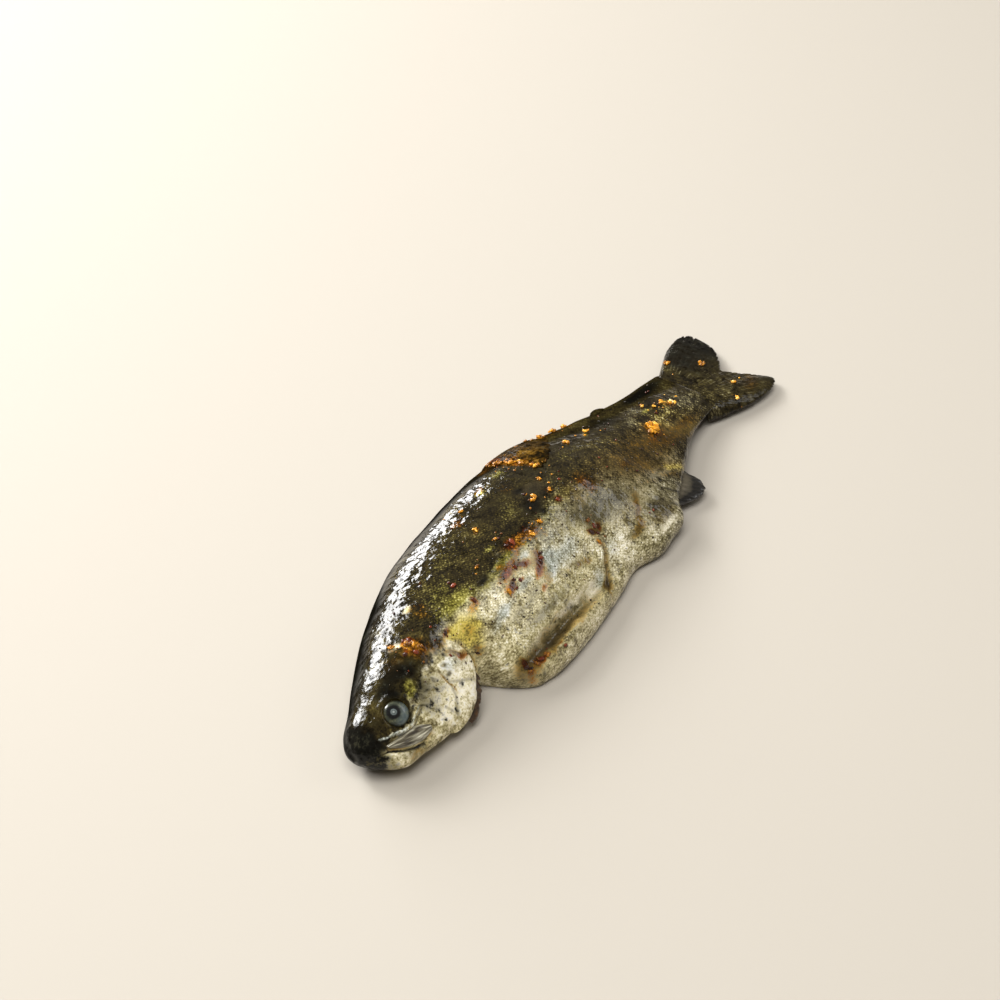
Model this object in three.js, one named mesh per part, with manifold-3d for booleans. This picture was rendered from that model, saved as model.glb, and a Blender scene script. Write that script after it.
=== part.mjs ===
// Whole raw trout, gutted and seasoned, lying on its right side: one closed solid.
// Millimetres. +X runs from the snout to the tail, +Y to the back, +Z up out of the left flank.
import * as THREE from 'three';
import { mergeVertices } from 'three/addons/utils/BufferGeometryUtils.js';
import Module from 'manifold-3d';

const wasm = await Module();
wasm.setup();

// ---------------------------------------------------------------- driving dimensions
const BODY_LENGTH = 261;      // snout to the root of the tail fin
const TAIL_LENGTH = 38;       // the tail fin's longest rays past its root
const SNOUT_ROUND = 0.035;    // the part of the length over which the snout rounds off

// The spine lies nearly straight: the nose turns up to the back's side, the tail a little too.
const NOSE_TURN = 9;          // degrees, gone at NOSE_END
const NOSE_END = 0.28;
const FRONT_SWEEP = 2.5;      // degrees at the head, gone at the tail
const TAIL_SWEEP = 3;         // degrees the other way at the tail

// Cross-sections, snout to tail. at: place along the body, 0 to 1. back and belly: how far the
// outline stands off the spine. over and under: how far the flanks stand off the middle plane.
// mid and rim: height of that plane above the table at the spine and at the belly's edge.
const SECTIONS = [
  { at: 0.000, back: 9.0, belly: 14.0, over: 8.0, under: 8.0, mid: 10.0, rim: 9.0 },
  { at: 0.025, back: 9.6, belly: 17.3, over: 8.7, under: 8.3, mid: 10.5, rim: 9.0 },
  { at: 0.060, back: 12.0, belly: 19.8, over: 10.5, under: 10.0, mid: 11.7, rim: 9.0 },
  { at: 0.110, back: 17.3, belly: 23.3, over: 13.5, under: 13.0, mid: 13.3, rim: 9.0 },
  { at: 0.170, back: 23.6, belly: 24.3, over: 16.0, under: 15.5, mid: 15.0, rim: 8.5 },
  { at: 0.228, back: 28.8, belly: 20.4, over: 17.5, under: 17.0, mid: 16.0, rim: 9.4 },
  { at: 0.246, back: 30.2, belly: 19.6, over: 17.8, under: 17.5, mid: 16.2, rim: 9.0 },
  { at: 0.268, back: 31.9, belly: 31.5, over: 17.9, under: 18.1, mid: 16.4, rim: 7.8 },
  { at: 0.290, back: 33.5, belly: 38.2, over: 18.0, under: 18.5, mid: 16.5, rim: 6.0 },
  { at: 0.312, back: 34.8, belly: 40.6, over: 18.0, under: 18.5, mid: 16.5, rim: 5.6 },
  { at: 0.340, back: 36.0, belly: 42.4, over: 18.0, under: 18.5, mid: 16.5, rim: 5.5 },
  { at: 0.420, back: 37.1, belly: 42.8, over: 18.6, under: 18.5, mid: 16.5, rim: 5.0 },
  { at: 0.530, back: 37.4, belly: 40.5, over: 18.8, under: 18.0, mid: 16.3, rim: 5.0 },
  { at: 0.590, back: 36.4, belly: 38.4, over: 18.2, under: 17.2, mid: 15.6, rim: 5.3 },
  { at: 0.640, back: 35.0, belly: 43.0, over: 17.2, under: 16.2, mid: 14.9, rim: 6.0 },
  { at: 0.680, back: 32.5, belly: 42.6, over: 15.8, under: 14.8, mid: 14.0, rim: 6.7 },
  { at: 0.712, back: 30.4, belly: 41.8, over: 14.4, under: 13.6, mid: 13.2, rim: 7.3 },
  { at: 0.740, back: 28.4, belly: 35.6, over: 13.2, under: 12.6, mid: 12.5, rim: 7.7 },
  { at: 0.830, back: 21.6, belly: 24.8, over: 10.0, under: 9.5, mid: 10.5, rim: 8.5 },
  { at: 0.900, back: 18.7, belly: 17.4, over: 7.5, under: 7.0, mid: 9.0, rim: 8.5 },
  { at: 0.960, back: 17.8, belly: 15.3, over: 5.5, under: 5.0, mid: 8.0, rim: 8.0 },
  { at: 1.000, back: 16.6, belly: 14.6, over: 3.5, under: 3.0, mid: 7.5, rim: 7.5 },
];
const FLANK_FULLNESS = 0.85;  // power of the upper flank's curve, 1 for an ellipse
const UNDER_FULLNESS = 0.75;  // the same underneath, where the flesh settles on the table
const EDGE_THINNING = 0.25;   // how much thinner the fish is towards the belly's edge

// The fold along the gutted belly: steep on the flank's side, shallow towards the edge, with the
// limp belly wall swelling a little beyond it.
const FOLD_DEPTH = 4.8;
const FOLD_LINE = -34;        // off the spine, where it is deepest
const FOLD_RISE = 6;          // how far that line runs outwards over the body's length
const FOLD_STEEP = 1.9;       // widths of the two slopes
const FOLD_SHALLOW = 3.6;
const WALL_SWELL = 1.8;       // height of the swelling, its distance from the fold and its width
const WALL_OFFSET = 6.5;
const WALL_WIDTH = 3.6;

const BODY_RINGS = 76;
const RING_POINTS = 36;

// Gill cover, jaw plate and mouth, as distances along the body and off the spine.
const GILL_COVER_LIFT = 1.9;
const JAW_PLATE_LIFT = 1.1;
const PLATE_ROOT = 1.5;       // how deep plates and fins reach into the flesh
const MOUTH_LINE = [[1.5, -10.2], [5, -11.3], [8.5, -14.8], [13, -17.9], [17.5, -19.8]];
const MOUTH_GAPE = 0.9;
const MOUTH_DEPTH = 1.3;
const EYE = { along: 18.9, off: -7.4, radius: 6.5, half: 3.1, proud: 1.2 };

// Fins.
const TAIL_ROOT = 9;          // how far the tail fin reaches into the body
const TAIL_ROOT_THICKNESS = 3.6;
const TAIL_EDGE_THICKNESS = 1.1;
const TAIL_EDGE_HEIGHT = 3.4; // of its middle plane above the table, at the edge
// The tail fin's edge from its upper root round to its lower one: past the root, and off the axis.
const TAIL_EDGE = [
  [2, 17.5], [11, 21.5], [21, 25.4], [30, 26.4], [36.5, 24.6], [TAIL_LENGTH, 18.5], [34.5, 9], [28, 2],
  [23.5, -2], [26, -7.5], [30, -14.5], [33, -21.5], [30.5, -25.2], [22, -26.4], [11, -24.6], [0, -20.4],
  [-10, -15.6],
];
const TAIL_ROOT_HALF = 12.5;
const TAIL_RIPPLE = 0.7;
const TAIL_WAVES = 17;
const ANAL_FIN_EDGE = [[194, -33], [200, -37], [206, -39], [211, -38.2], [214.5, -33.5], [215, -24]];
const ANAL_FIN_BASE = [[186, -27], [214, -19]];
const ANAL_FIN_THICKNESS = 1.6;
const ANAL_FIN_HEIGHT = 4.6;
const DORSAL_FIN_LIFT = 1.3;
const FAT_FIN = { along: 216, off: 18.5, length: 10, width: 4, height: 1.7 };

// ---------------------------------------------------------------- small helpers
const mix = (a, b, t) => a + (b - a) * t;

function smooth(from, to, x) {
  return THREE.MathUtils.smoothstep(x, from, to);
}

// A value of the cross-section table at a place along the body, on a smooth curve.
function sectionValue(key, at) {
  const last = SECTIONS.length - 2;
  let i = 0;
  while (i < last && at > SECTIONS[i + 1].at) i++;
  const slope = (k) => {
    const a = SECTIONS[Math.max(0, k - 1)];
    const b = SECTIONS[Math.min(SECTIONS.length - 1, k + 1)];
    return (b[key] - a[key]) / (b.at - a.at);
  };
  const width = SECTIONS[i + 1].at - SECTIONS[i].at;
  const t = THREE.MathUtils.clamp((at - SECTIONS[i].at) / width, 0, 1);
  const ends = (1 + 2 * t) * (1 - t) ** 2 * SECTIONS[i][key] + t * t * (3 - 2 * t) * SECTIONS[i + 1][key];
  return ends + width * t * (1 - t) * ((1 - t) * slope(i) - t * slope(i + 1));
}

// ---------------------------------------------------------------- the body's surface
function heading(at) {
  const nose = NOSE_TURN * Math.max(0, 1 - at / NOSE_END) ** 2;
  return THREE.MathUtils.degToRad(nose + FRONT_SWEEP * (1 - at) - TAIL_SWEEP * at * at);
}

const SPINE_STEPS = 200;
const spineTable = [new THREE.Vector2(0, 0)];
for (let i = 0; i < SPINE_STEPS; i++) {
  const turn = heading((i + 0.5) / SPINE_STEPS);
  const step = new THREE.Vector2(Math.cos(turn), Math.sin(turn)).multiplyScalar(BODY_LENGTH / SPINE_STEPS);
  spineTable.push(spineTable[i].clone().add(step));
}

// The point that lies a distance off the spine at a place along it, at a height.
function besideSpine(at, off, height) {
  const place = THREE.MathUtils.clamp(at, 0, 1) * SPINE_STEPS;
  const i = Math.min(SPINE_STEPS - 1, Math.floor(place));
  const foot = spineTable[i].clone().lerp(spineTable[i + 1], place - i);
  const turn = heading(THREE.MathUtils.clamp(at, 0, 1));
  const past = (at - THREE.MathUtils.clamp(at, 0, 1)) * BODY_LENGTH;
  foot.x += Math.cos(turn) * past - Math.sin(turn) * off;
  foot.y += Math.sin(turn) * past + Math.cos(turn) * off;
  return new THREE.Vector3(foot.x, foot.y, height);
}

// The skin, by place along the body and angle round it: 0 on the back's edge, 90 degrees on top of
// the left flank, 180 on the belly's edge, 270 underneath.
function skin(at, angle) {
  const tip = THREE.MathUtils.clamp(at / SNOUT_ROUND, 0, 1);
  const rounded = Math.sqrt(1 - (1 - tip) ** 2);
  const side = Math.cos(angle);
  const rise = Math.sin(angle);
  const off = side * rounded * sectionValue(side > 0 ? 'back' : 'belly', at);
  const low = smooth(0, 1, -side);
  const middle = mix(sectionValue('mid', at), sectionValue('rim', at), low);
  const thickness = rounded * (1 - EDGE_THINNING * low);
  if (rise < 0) {
    const under = sectionValue('under', at) * thickness;
    return besideSpine(at, off, Math.max(0, middle - under * (-rise) ** UNDER_FULLNESS));
  }
  const over = sectionValue('over', at) * thickness;
  const folded = smooth(0.25, 0.36, at) * (1 - smooth(0.46, 0.56, at));
  const fromFold = off - (FOLD_LINE - FOLD_RISE * (at - 0.4));
  const slope = fromFold > 0 ? FOLD_STEEP : FOLD_SHALLOW;
  const swell = WALL_SWELL * Math.exp(-(((fromFold + WALL_OFFSET) / WALL_WIDTH) ** 2));
  const relief = (swell - FOLD_DEPTH * Math.exp(-((fromFold / slope) ** 2))) * folded * smooth(0, 0.35, rise);
  return besideSpine(at, off, middle + over * rise ** FLANK_FULLNESS + relief);
}

// The angle at which the upper skin stands a distance off the spine.
function angleOff(at, off) {
  const reach = sectionValue(off > 0 ? 'back' : 'belly', at);
  return Math.acos(THREE.MathUtils.clamp(off / reach, -1, 1));
}

// A point lifted off the skin along its normal, or sunk into it.
function offSkin(at, angle, lift) {
  const d = 0.004;
  const along = skin(at + d, angle).sub(skin(at - d, angle));
  const round = skin(at, angle + d).sub(skin(at, angle - d));
  const normal = along.cross(round).normalize();
  const point = skin(at, angle).addScaledVector(normal, -lift);
  point.z = Math.max(0, point.z);
  return point;
}

// ---------------------------------------------------------------- closed meshes
function solidFrom(points, triangles) {
  const geometry = new THREE.BufferGeometry().setFromPoints(points);
  geometry.setIndex(triangles);
  return asManifold(geometry);
}

function welded(geometry) {
  geometry.deleteAttribute('normal');
  geometry.deleteAttribute('uv');
  return mergeVertices(geometry, 1e-4);
}

function asManifold(geometry) {
  const closed = welded(geometry);
  return new wasm.Manifold(new wasm.Mesh({
    numProp: 3,
    vertProperties: new Float32Array(closed.attributes.position.array),
    triVerts: new Uint32Array(closed.index.array),
  }));
}

// The body: rings of skin between a snout point and a tail point.
function bodySolid() {
  const points = [];
  const triangles = [];
  for (let i = 0; i < BODY_RINGS; i++) {
    const t = (i + 0.35) / (BODY_RINGS - 0.65);
    const at = 0.55 * t + 0.45 * t * t;
    for (let j = 0; j < RING_POINTS; j++) points.push(skin(at, (2 * Math.PI * j) / RING_POINTS));
  }
  const snout = points.push(besideSpine(0, 0, SECTIONS[0].mid)) - 1;
  const tail = points.push(besideSpine(1, 0, SECTIONS.at(-1).mid)) - 1;
  const lastRing = (BODY_RINGS - 1) * RING_POINTS;
  for (let j = 0; j < RING_POINTS; j++) {
    const next = (j + 1) % RING_POINTS;
    for (let i = 0; i < BODY_RINGS - 1; i++) {
      const a = i * RING_POINTS;
      const b = a + RING_POINTS;
      triangles.push(a + j, a + next, b + next, a + j, b + next, b + j);
    }
    triangles.push(snout, next, j, tail, lastRing + j, lastRing + next);
  }
  return solidFrom(points, triangles);
}

// A closed slab between two faces of the same grid, each given as a function of u and v, 0 to 1.
function slab(columns, rows, upper, lower) {
  const points = [];
  const triangles = [];
  const wide = columns + 1;
  const sheet = wide * (rows + 1);
  for (const face of [upper, lower]) {
    for (let j = 0; j <= rows; j++) {
      for (let i = 0; i <= columns; i++) points.push(face(i / columns, j / rows));
    }
  }
  const quad = (a, b, c, d) => triangles.push(a, b, c, a, c, d);
  for (let j = 0; j < rows; j++) {
    for (let i = 0; i < columns; i++) {
      const a = j * wide + i;
      quad(a, a + 1, a + 1 + wide, a + wide);
      quad(sheet + a, sheet + a + wide, sheet + a + 1 + wide, sheet + a + 1);
    }
  }
  for (let i = 0; i < columns; i++) {
    const top = rows * wide + i;
    quad(i, sheet + i, sheet + i + 1, i + 1);
    quad(top, top + 1, sheet + top + 1, sheet + top);
  }
  for (let j = 0; j < rows; j++) {
    const left = j * wide;
    const right = left + columns;
    quad(left, left + wide, sheet + left + wide, sheet + left);
    quad(right, sheet + right, sheet + right + wide, right + wide);
  }
  const solid = solidFrom(points, triangles);
  return solid.volume() > 0 ? solid : solidFrom(points, triangles.reverse());
}

// A curve through points in the plane of the fish, given as a function of 0 to 1.
function planeCurve(points) {
  const curve = new THREE.SplineCurve(points.map(([along, off]) => new THREE.Vector2(along, off)));
  return (t) => curve.getPoint(t);
}

// ---------------------------------------------------------------- head
// The gill cover's rear edge, by angle round the body: rounded at the back, swept forward below.
function gillCoverRear(angle) {
  const low = smooth(1.9, 3.3, angle);
  const turnedUnder = Math.max(0, angle - 2.95) / 0.4;
  return 0.199 + 0.03 * Math.sin(Math.PI * Math.min(1, 0.2 + low)) ** 0.6 - 0.075 * turnedUnder ** 2;
}

function gillCover() {
  const place = (u, v, lift) => {
    const angle = mix(1.85, 3.32, v);
    const at = mix(0.115, gillCoverRear(angle), u);
    const edge = smooth(0, 0.75, u) * smooth(0, 0.3, v);
    return offSkin(at, angle, lift === 0 ? -PLATE_ROOT : mix(-0.3, GILL_COVER_LIFT, edge));
  };
  return slab(12, 12, (u, v) => place(u, v, 1), (u, v) => place(u, v, 0));
}

// The upper jaw's plate: a blade from the snout to below the eye, wider at its rear end.
function jawPlate() {
  const upper = planeCurve([[6, -9], [12, -11.4], [17, -13.2], [21, -15.5], [24.5, -18.6]]);
  const lower = planeCurve([[6, -10.6], [9, -14], [14, -17.3], [19, -19.2], [23.5, -19.9]]);
  const place = (u, v, lift) => {
    const p = upper(u).lerp(lower(u), v);
    const at = p.x / BODY_LENGTH;
    const crown = Math.sin(Math.PI * v) ** 0.5;
    return offSkin(at, angleOff(at, p.y), lift === 0 ? -PLATE_ROOT : mix(0.1, JAW_PLATE_LIFT, crown));
  };
  return slab(7, 4, (u, v) => place(u, v, 1), (u, v) => place(u, v, 0));
}

function mouthGroove() {
  const line = planeCurve(MOUTH_LINE);
  const place = (u, v, lift) => {
    const p = line(u);
    const at = p.x / BODY_LENGTH;
    const off = p.y + MOUTH_GAPE * (v - 0.5) * (lift > 0 ? 1 : 0.2);
    return offSkin(at, angleOff(at, off), lift);
  };
  return slab(9, 1, (u, v) => place(u, v, 1), (u, v) => place(u, v, -MOUTH_DEPTH));
}

// The eye: a flattened dome, its middle sunk below the cheek's skin.
function eyeDome() {
  const at = EYE.along / BODY_LENGTH;
  const angle = angleOff(at, EYE.off);
  const centre = offSkin(at, angle, EYE.proud - EYE.half);
  const outward = offSkin(at, angle, EYE.proud).sub(centre).normalize();
  const upright = new THREE.Vector3(0, 1, 0);
  const dome = new THREE.SphereGeometry(1, 20, 12).scale(EYE.radius, EYE.half, EYE.radius);
  dome.applyQuaternion(new THREE.Quaternion().setFromUnitVectors(upright, outward));
  dome.translate(centre.x, centre.y, centre.z);
  return asManifold(dome);
}

// ---------------------------------------------------------------- fins
// The tail fin: rays that fan out from the root to the edge, thinner and lower outwards.
const tailEdge = planeCurve(TAIL_EDGE);

function tailPoint(out, ray, face) {
  const root = new THREE.Vector2(-TAIL_ROOT, mix(TAIL_ROOT_HALF, -TAIL_ROOT_HALF, ray));
  const p = root.lerp(tailEdge(ray), out);
  const ripple = TAIL_RIPPLE * out * Math.sin(TAIL_WAVES * ray) * Math.sin(Math.PI * ray);
  const middle = mix(SECTIONS.at(-1).mid, TAIL_EDGE_HEIGHT, out * out) + ripple;
  const half = mix(TAIL_ROOT_THICKNESS, TAIL_EDGE_THICKNESS, out ** 0.6) / 2;
  return besideSpine(1 + p.x / BODY_LENGTH, p.y, middle + face * half);
}

function tailFin() {
  return slab(7, 28, (u, v) => tailPoint(u, v, 1), (u, v) => tailPoint(u, v, -1));
}

// The spot of the tail fin's upper face that is nearest in plan to a place beside the spine.
function tailSpot(along, off) {
  const wanted = besideSpine(along / BODY_LENGTH, off, 0);
  let best = null;
  let nearest = Infinity;
  for (let i = 0; i <= 20; i++) {
    for (let j = 0; j <= 40; j++) {
      const spot = tailPoint(i / 20, j / 40, 1);
      const distance = Math.hypot(spot.x - wanted.x, spot.y - wanted.y);
      if (distance < nearest) [best, nearest] = [spot, distance];
    }
  }
  return best;
}

function analFin() {
  const edge = planeCurve(ANAL_FIN_EDGE);
  const [front, rear] = ANAL_FIN_BASE;
  const place = (u, v, face) => {
    const root = new THREE.Vector2(mix(front[0], rear[0], v), mix(front[1], rear[1], v));
    const p = root.lerp(edge(v), u);
    const height = mix(7.5, ANAL_FIN_HEIGHT, u) + face * (ANAL_FIN_THICKNESS / 2) * (1.4 - 0.5 * u);
    return besideSpine(p.x / BODY_LENGTH, p.y, height);
  };
  return slab(5, 8, (u, v) => place(u, v, 1), (u, v) => place(u, v, -1));
}

// The back fin lies folded over the upper flank, its rays running down it from the back's edge.
function dorsalFin() {
  const place = (u, v, lift) => {
    const rayEnd = mix(8.5, 20, v * v);
    const at = mix(0.588, 0.672, v) + 0.012 * u * (1 - v) + 0.018 * u * v;
    const angle = mix(-0.35, angleOff(at, rayEnd), u);
    return offSkin(at, angle, lift === 0 ? -PLATE_ROOT : mix(DORSAL_FIN_LIFT, 0.5, u * u));
  };
  return slab(9, 8, (u, v) => place(u, v, 1), (u, v) => place(u, v, 0));
}

// The small fleshy fin in front of the tail, a low tongue on the back's edge.
function fatFin() {
  return slab(6, 4, (u, v) => fatFinPoint(u, v, 1), (u, v) => fatFinPoint(u, v, 0));
}

function fatFinPoint(u, v, face) {
  const along = FAT_FIN.along + FAT_FIN.length * (u - 0.5);
  const at = along / BODY_LENGTH;
  const bulge = Math.sin(Math.PI * mix(0.12, 0.94, u ** 0.7));
  const off = FAT_FIN.off + FAT_FIN.width * (0.5 - v) * bulge;
  const crown = Math.sin(Math.PI * mix(0.1, 0.9, v)) * bulge;
  return offSkin(at, angleOff(at, off), face === 0 ? -PLATE_ROOT : FAT_FIN.height * crown);
}

// ---------------------------------------------------------------- seasoning
const ROUGHNESS = 0.45;       // how uneven a grain is
const SEED_STEP = 16807;      // a small fixed sequence of random numbers, the same at every run
const SEED_RANGE = 2 ** 31 - 1;
let seed = 20;
function random() {
  seed = (seed * SEED_STEP) % SEED_RANGE;
  return seed / SEED_RANGE;
}

// A rough grain of the given radii, set on the skin.
function grain(along, off, radii, detail, lift) {
  const at = along / BODY_LENGTH;
  const foot = at > 1 ? tailSpot(along, off) : offSkin(at, angleOff(at, off), lift);
  const ball = welded(new THREE.IcosahedronGeometry(1, detail));
  const position = ball.attributes.position;
  for (let i = 0; i < position.count; i++) {
    const swell = 1 + ROUGHNESS * (random() - 0.5);
    position.setXYZ(i, position.getX(i) * swell, position.getY(i) * swell, position.getZ(i) * swell);
  }
  ball.scale(...radii);
  ball.rotateZ(random() * Math.PI);
  ball.translate(foot.x, foot.y, foot.z);
  return asManifold(ball);
}

// Where the grated garlic and spice lie: each row is a streak from one place to another, along the
// body and off the spine, how far the grains stray from it, their number and their mean radius.
const STREAKS = [
  { from: [217, -8], to: [217, -8], stray: 0, grains: 1, radius: 3.4 },
  { from: [155, 33], to: [157, 12], stray: 2, grains: 9, radius: 1.7 },
  { from: [169, 30], to: [198, 24], stray: 3, grains: 5, radius: 1.8 },
  { from: [181, 11], to: [194, 10], stray: 2, grains: 2, radius: 1.5 },
  { from: [150, 4], to: [122, -8], stray: 9, grains: 5, radius: 1.5 },
  { from: [240, -1], to: [228, 4], stray: 5, grains: 4, radius: 1.3 },
  { from: [41, 6], to: [47, -4], stray: 3, grains: 4, radius: 1.3 },
  { from: [118, 17], to: [90, -12], stray: 12, grains: 5, radius: 1.2 },
  { from: [147, -20], to: [143, -26], stray: 2, grains: 2, radius: 1.3 },
  { from: [73, -36], to: [84, -38], stray: 2, grains: 3, radius: 1.2 },
  { from: [279, 6], to: [279, 6], stray: 0, grains: 1, radius: 1.9 },
  { from: [277, -12], to: [268, -19], stray: 0, grains: 2, radius: 1.5 },
  { from: [270, 18], to: [270, 18], stray: 0, grains: 1, radius: 1.3 },
];
const GRAIN_SHAPE = [1.2, 0.9, 0.75];
const LARGE_GRAIN = 3;        // from this radius on a grain has finer facets
const GRAIN_LIFT = 0.2;       // of its middle above the skin, as a part of its radius

function seasoning() {
  const grains = [];
  for (const { from, to, stray, grains: count, radius } of STREAKS) {
    for (let i = 0; i < count; i++) {
      const t = count > 1 ? i / (count - 1) : 0.5;
      const size = radius * (count > 1 ? mix(0.75, 1.2, random()) : 1);
      const along = mix(from[0], to[0], t) + stray * (random() - 0.5);
      const off = mix(from[1], to[1], t) + stray * (random() - 0.5);
      const radii = GRAIN_SHAPE.map((share) => share * size);
      grains.push(grain(along, off, radii, size > LARGE_GRAIN ? 1 : 0, GRAIN_LIFT * size));
    }
  }
  return grains;
}

// ---------------------------------------------------------------- assembly
function bufferGeometry(solid) {
  const mesh = solid.getMesh();
  const geometry = new THREE.BufferGeometry();
  geometry.setAttribute('position', new THREE.BufferAttribute(new Float32Array(mesh.vertProperties), 3));
  geometry.setIndex(new THREE.BufferAttribute(new Uint32Array(mesh.triVerts), 1));
  geometry.computeBoundingBox();
  const middle = geometry.boundingBox.getCenter(new THREE.Vector3());
  geometry.translate(-middle.x, -middle.y, -geometry.boundingBox.min.z);
  geometry.computeVertexNormals();
  return geometry;
}

let fish = bodySolid();
for (const piece of [tailFin(), analFin(), dorsalFin(), fatFin(), gillCover(), jawPlate(), eyeDome()]) {
  fish = fish.add(piece);
}
fish = fish.subtract(mouthGroove());
for (const piece of seasoning()) fish = fish.add(piece);

const skinMaterial = new THREE.MeshStandardMaterial({ color: '#6d6a4c', roughness: 0.3, metalness: 0 });
const trout = new THREE.Mesh(bufferGeometry(fish), skinMaterial);
trout.name = 'trout';

const group = new THREE.Group();
group.name = 'whole_raw_trout';
group.add(trout);
export default group;
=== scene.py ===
"""Whole raw trout, gutted, oiled and seasoned, lying on its right flank with the left one up."""
import math
import random
import bmesh
import bpy
import numpy as np
from mathutils import Matrix, Vector


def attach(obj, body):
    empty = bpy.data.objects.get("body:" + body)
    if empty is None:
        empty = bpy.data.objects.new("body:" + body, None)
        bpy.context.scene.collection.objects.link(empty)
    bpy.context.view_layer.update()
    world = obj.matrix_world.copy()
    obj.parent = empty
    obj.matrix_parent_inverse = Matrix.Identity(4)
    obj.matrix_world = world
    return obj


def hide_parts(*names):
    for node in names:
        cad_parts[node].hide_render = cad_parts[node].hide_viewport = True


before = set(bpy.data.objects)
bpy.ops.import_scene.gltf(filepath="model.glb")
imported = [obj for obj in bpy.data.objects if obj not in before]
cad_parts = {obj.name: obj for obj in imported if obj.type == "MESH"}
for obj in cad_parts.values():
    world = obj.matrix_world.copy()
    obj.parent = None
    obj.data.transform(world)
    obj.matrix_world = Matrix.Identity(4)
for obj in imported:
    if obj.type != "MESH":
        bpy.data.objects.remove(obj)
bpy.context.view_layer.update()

MM = 0.001
NODE = "trout"


# ---------------------------------------------------------------- the body's named sizes, millimetres
BODY_LENGTH = 261.0
SNOUT_ROUND = 0.035
NOSE_TURN = 9
NOSE_END = 0.28
FRONT_SWEEP = 2.5
TAIL_SWEEP = 3
SPINE_STEPS = 200
SPINE_START = np.array([-149.798, -4.705, 0.0])

# Cross-sections, snout to tail: how far the outline stands off the spine on the back's and the belly's
# side, how far the flanks stand over and under the middle plane, and that plane's height at the spine
# and at the belly's rim. Places along the body, here and below, run from 0 at the snout to 1.
SECTIONS = {
    "at": (0, 0.025, 0.06, 0.11, 0.17, 0.228, 0.246, 0.268, 0.29, 0.312, 0.34, 0.42, 0.53, 0.59, 0.64,
           0.68, 0.712, 0.74, 0.83, 0.9, 0.96, 1),
    "back": (9, 9.6, 12, 17.3, 23.6, 28.8, 30.2, 31.9, 33.5, 34.8, 36, 37.1, 37.4, 36.4, 35,
             32.5, 30.4, 28.4, 21.6, 18.7, 17.8, 16.6),
    "belly": (14, 17.3, 19.8, 23.3, 24.3, 20.4, 19.6, 31.5, 38.2, 40.6, 42.4, 42.8, 40.5, 38.4, 43,
              42.6, 41.8, 35.6, 24.8, 17.4, 15.3, 14.6),
    "over": (8, 8.7, 10.5, 13.5, 16, 17.5, 17.8, 17.9, 18, 18, 18, 18.6, 18.8, 18.2, 17.2,
             15.8, 14.4, 13.2, 10, 7.5, 5.5, 3.5),
    "under": (8, 8.3, 10, 13, 15.5, 17, 17.5, 18.1, 18.5, 18.5, 18.5, 18.5, 18, 17.2, 16.2,
              14.8, 13.6, 12.6, 9.5, 7, 5, 3),
    "mid": (10, 10.5, 11.7, 13.3, 15, 16, 16.2, 16.4, 16.5, 16.5, 16.5, 16.5, 16.3, 15.6, 14.9,
            14, 13.2, 12.5, 10.5, 9, 8, 7.5),
    "rim": (9, 9, 9, 9, 8.5, 9.4, 9, 7.8, 6, 5.6, 5.5, 5, 5, 5.3, 6,
            6.7, 7.3, 7.7, 8.5, 8.5, 8, 7.5),
}
FLANK_FULLNESS = 0.85
UNDER_FULLNESS = 0.75
EDGE_THINNING = 0.25
# The fold along the belly wall: its depth, where it lies off the spine and how that changes along the body,
# its half widths above and below, and where it deepens and runs out. The wall swells below it.
FOLD_DEPTH = 4.8
FOLD_LINE = -34
FOLD_RISE = 6
FOLD_STEEP = 1.9
FOLD_SHALLOW = 3.6
FOLD_MIDDLE = 0.4
FOLD_DEEPENS = (0.25, 0.36)
FOLD_RUNS_OUT = (0.46, 0.56)
FOLD_FADE = 0.35
WALL_SWELL = 1.8
WALL_OFFSET = 6.5
WALL_WIDTH = 3.6
GILL_COVER_LIFT = 1.9
NORMAL_STEP = 0.004
SPREAD = np.array(SECTIONS["at"])


# ---------------------------------------------------------------- small helpers
RIPPLE_WAVES = 10
RIPPLE_LENGTHS = (0.7, 1.6)     # the waves' lengths, as shares of the ripple's own
RIPPLE_PEAK = 5.5


def mix(a, b, t):
    """The value that lies a share t of the way from a to b."""
    return a + (b - a) * t


def smooth(start, end, x):
    """0 up to start and 1 from end on, with a soft rise between them."""
    t = np.clip((x - start) / (end - start), 0, 1)
    return t * t * (3 - 2 * t)


def linear(code):
    """An sRGB hex colour as the linear colour that the shader takes."""
    channels = [int(code[i:i + 2], 16) / 255 for i in (1, 3, 5)]
    return (*(c / 12.92 if c <= 0.04045 else ((c + 0.055) / 1.055) ** 2.4 for c in channels), 1.0)


def section(key, at):
    """A value of the cross-section table, on a smooth curve."""
    value = np.array(SECTIONS[key], float)
    last = len(value) - 1
    before = np.maximum(np.arange(last + 1) - 1, 0)
    after = np.minimum(np.arange(last + 1) + 1, last)
    slope = (value[after] - value[before]) / (SPREAD[after] - SPREAD[before])
    i = np.clip(np.searchsorted(SPREAD, at) - 1, 0, last - 1)
    width = SPREAD[i + 1] - SPREAD[i]
    t = np.clip((at - SPREAD[i]) / width, 0, 1)
    ends = (1 + 2 * t) * (1 - t) ** 2 * value[i] + t * t * (3 - 2 * t) * value[i + 1]
    return ends + width * t * (1 - t) * ((1 - t) * slope[i] - t * slope[i + 1])


def ripple(x, y, length, key):
    """A smooth uneven field, about -1 to 1: waves of roughly one length in seeded directions."""
    draw = random.Random(key)
    total = 0
    for _ in range(RIPPLE_WAVES):
        turn = draw.uniform(0, math.tau)
        pace = math.tau / (length * draw.uniform(*RIPPLE_LENGTHS))
        shift = draw.uniform(0, math.tau)
        total = total + np.sin(pace * (x * math.cos(turn) + y * math.sin(turn)) + shift)
    return total / RIPPLE_PEAK


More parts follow.
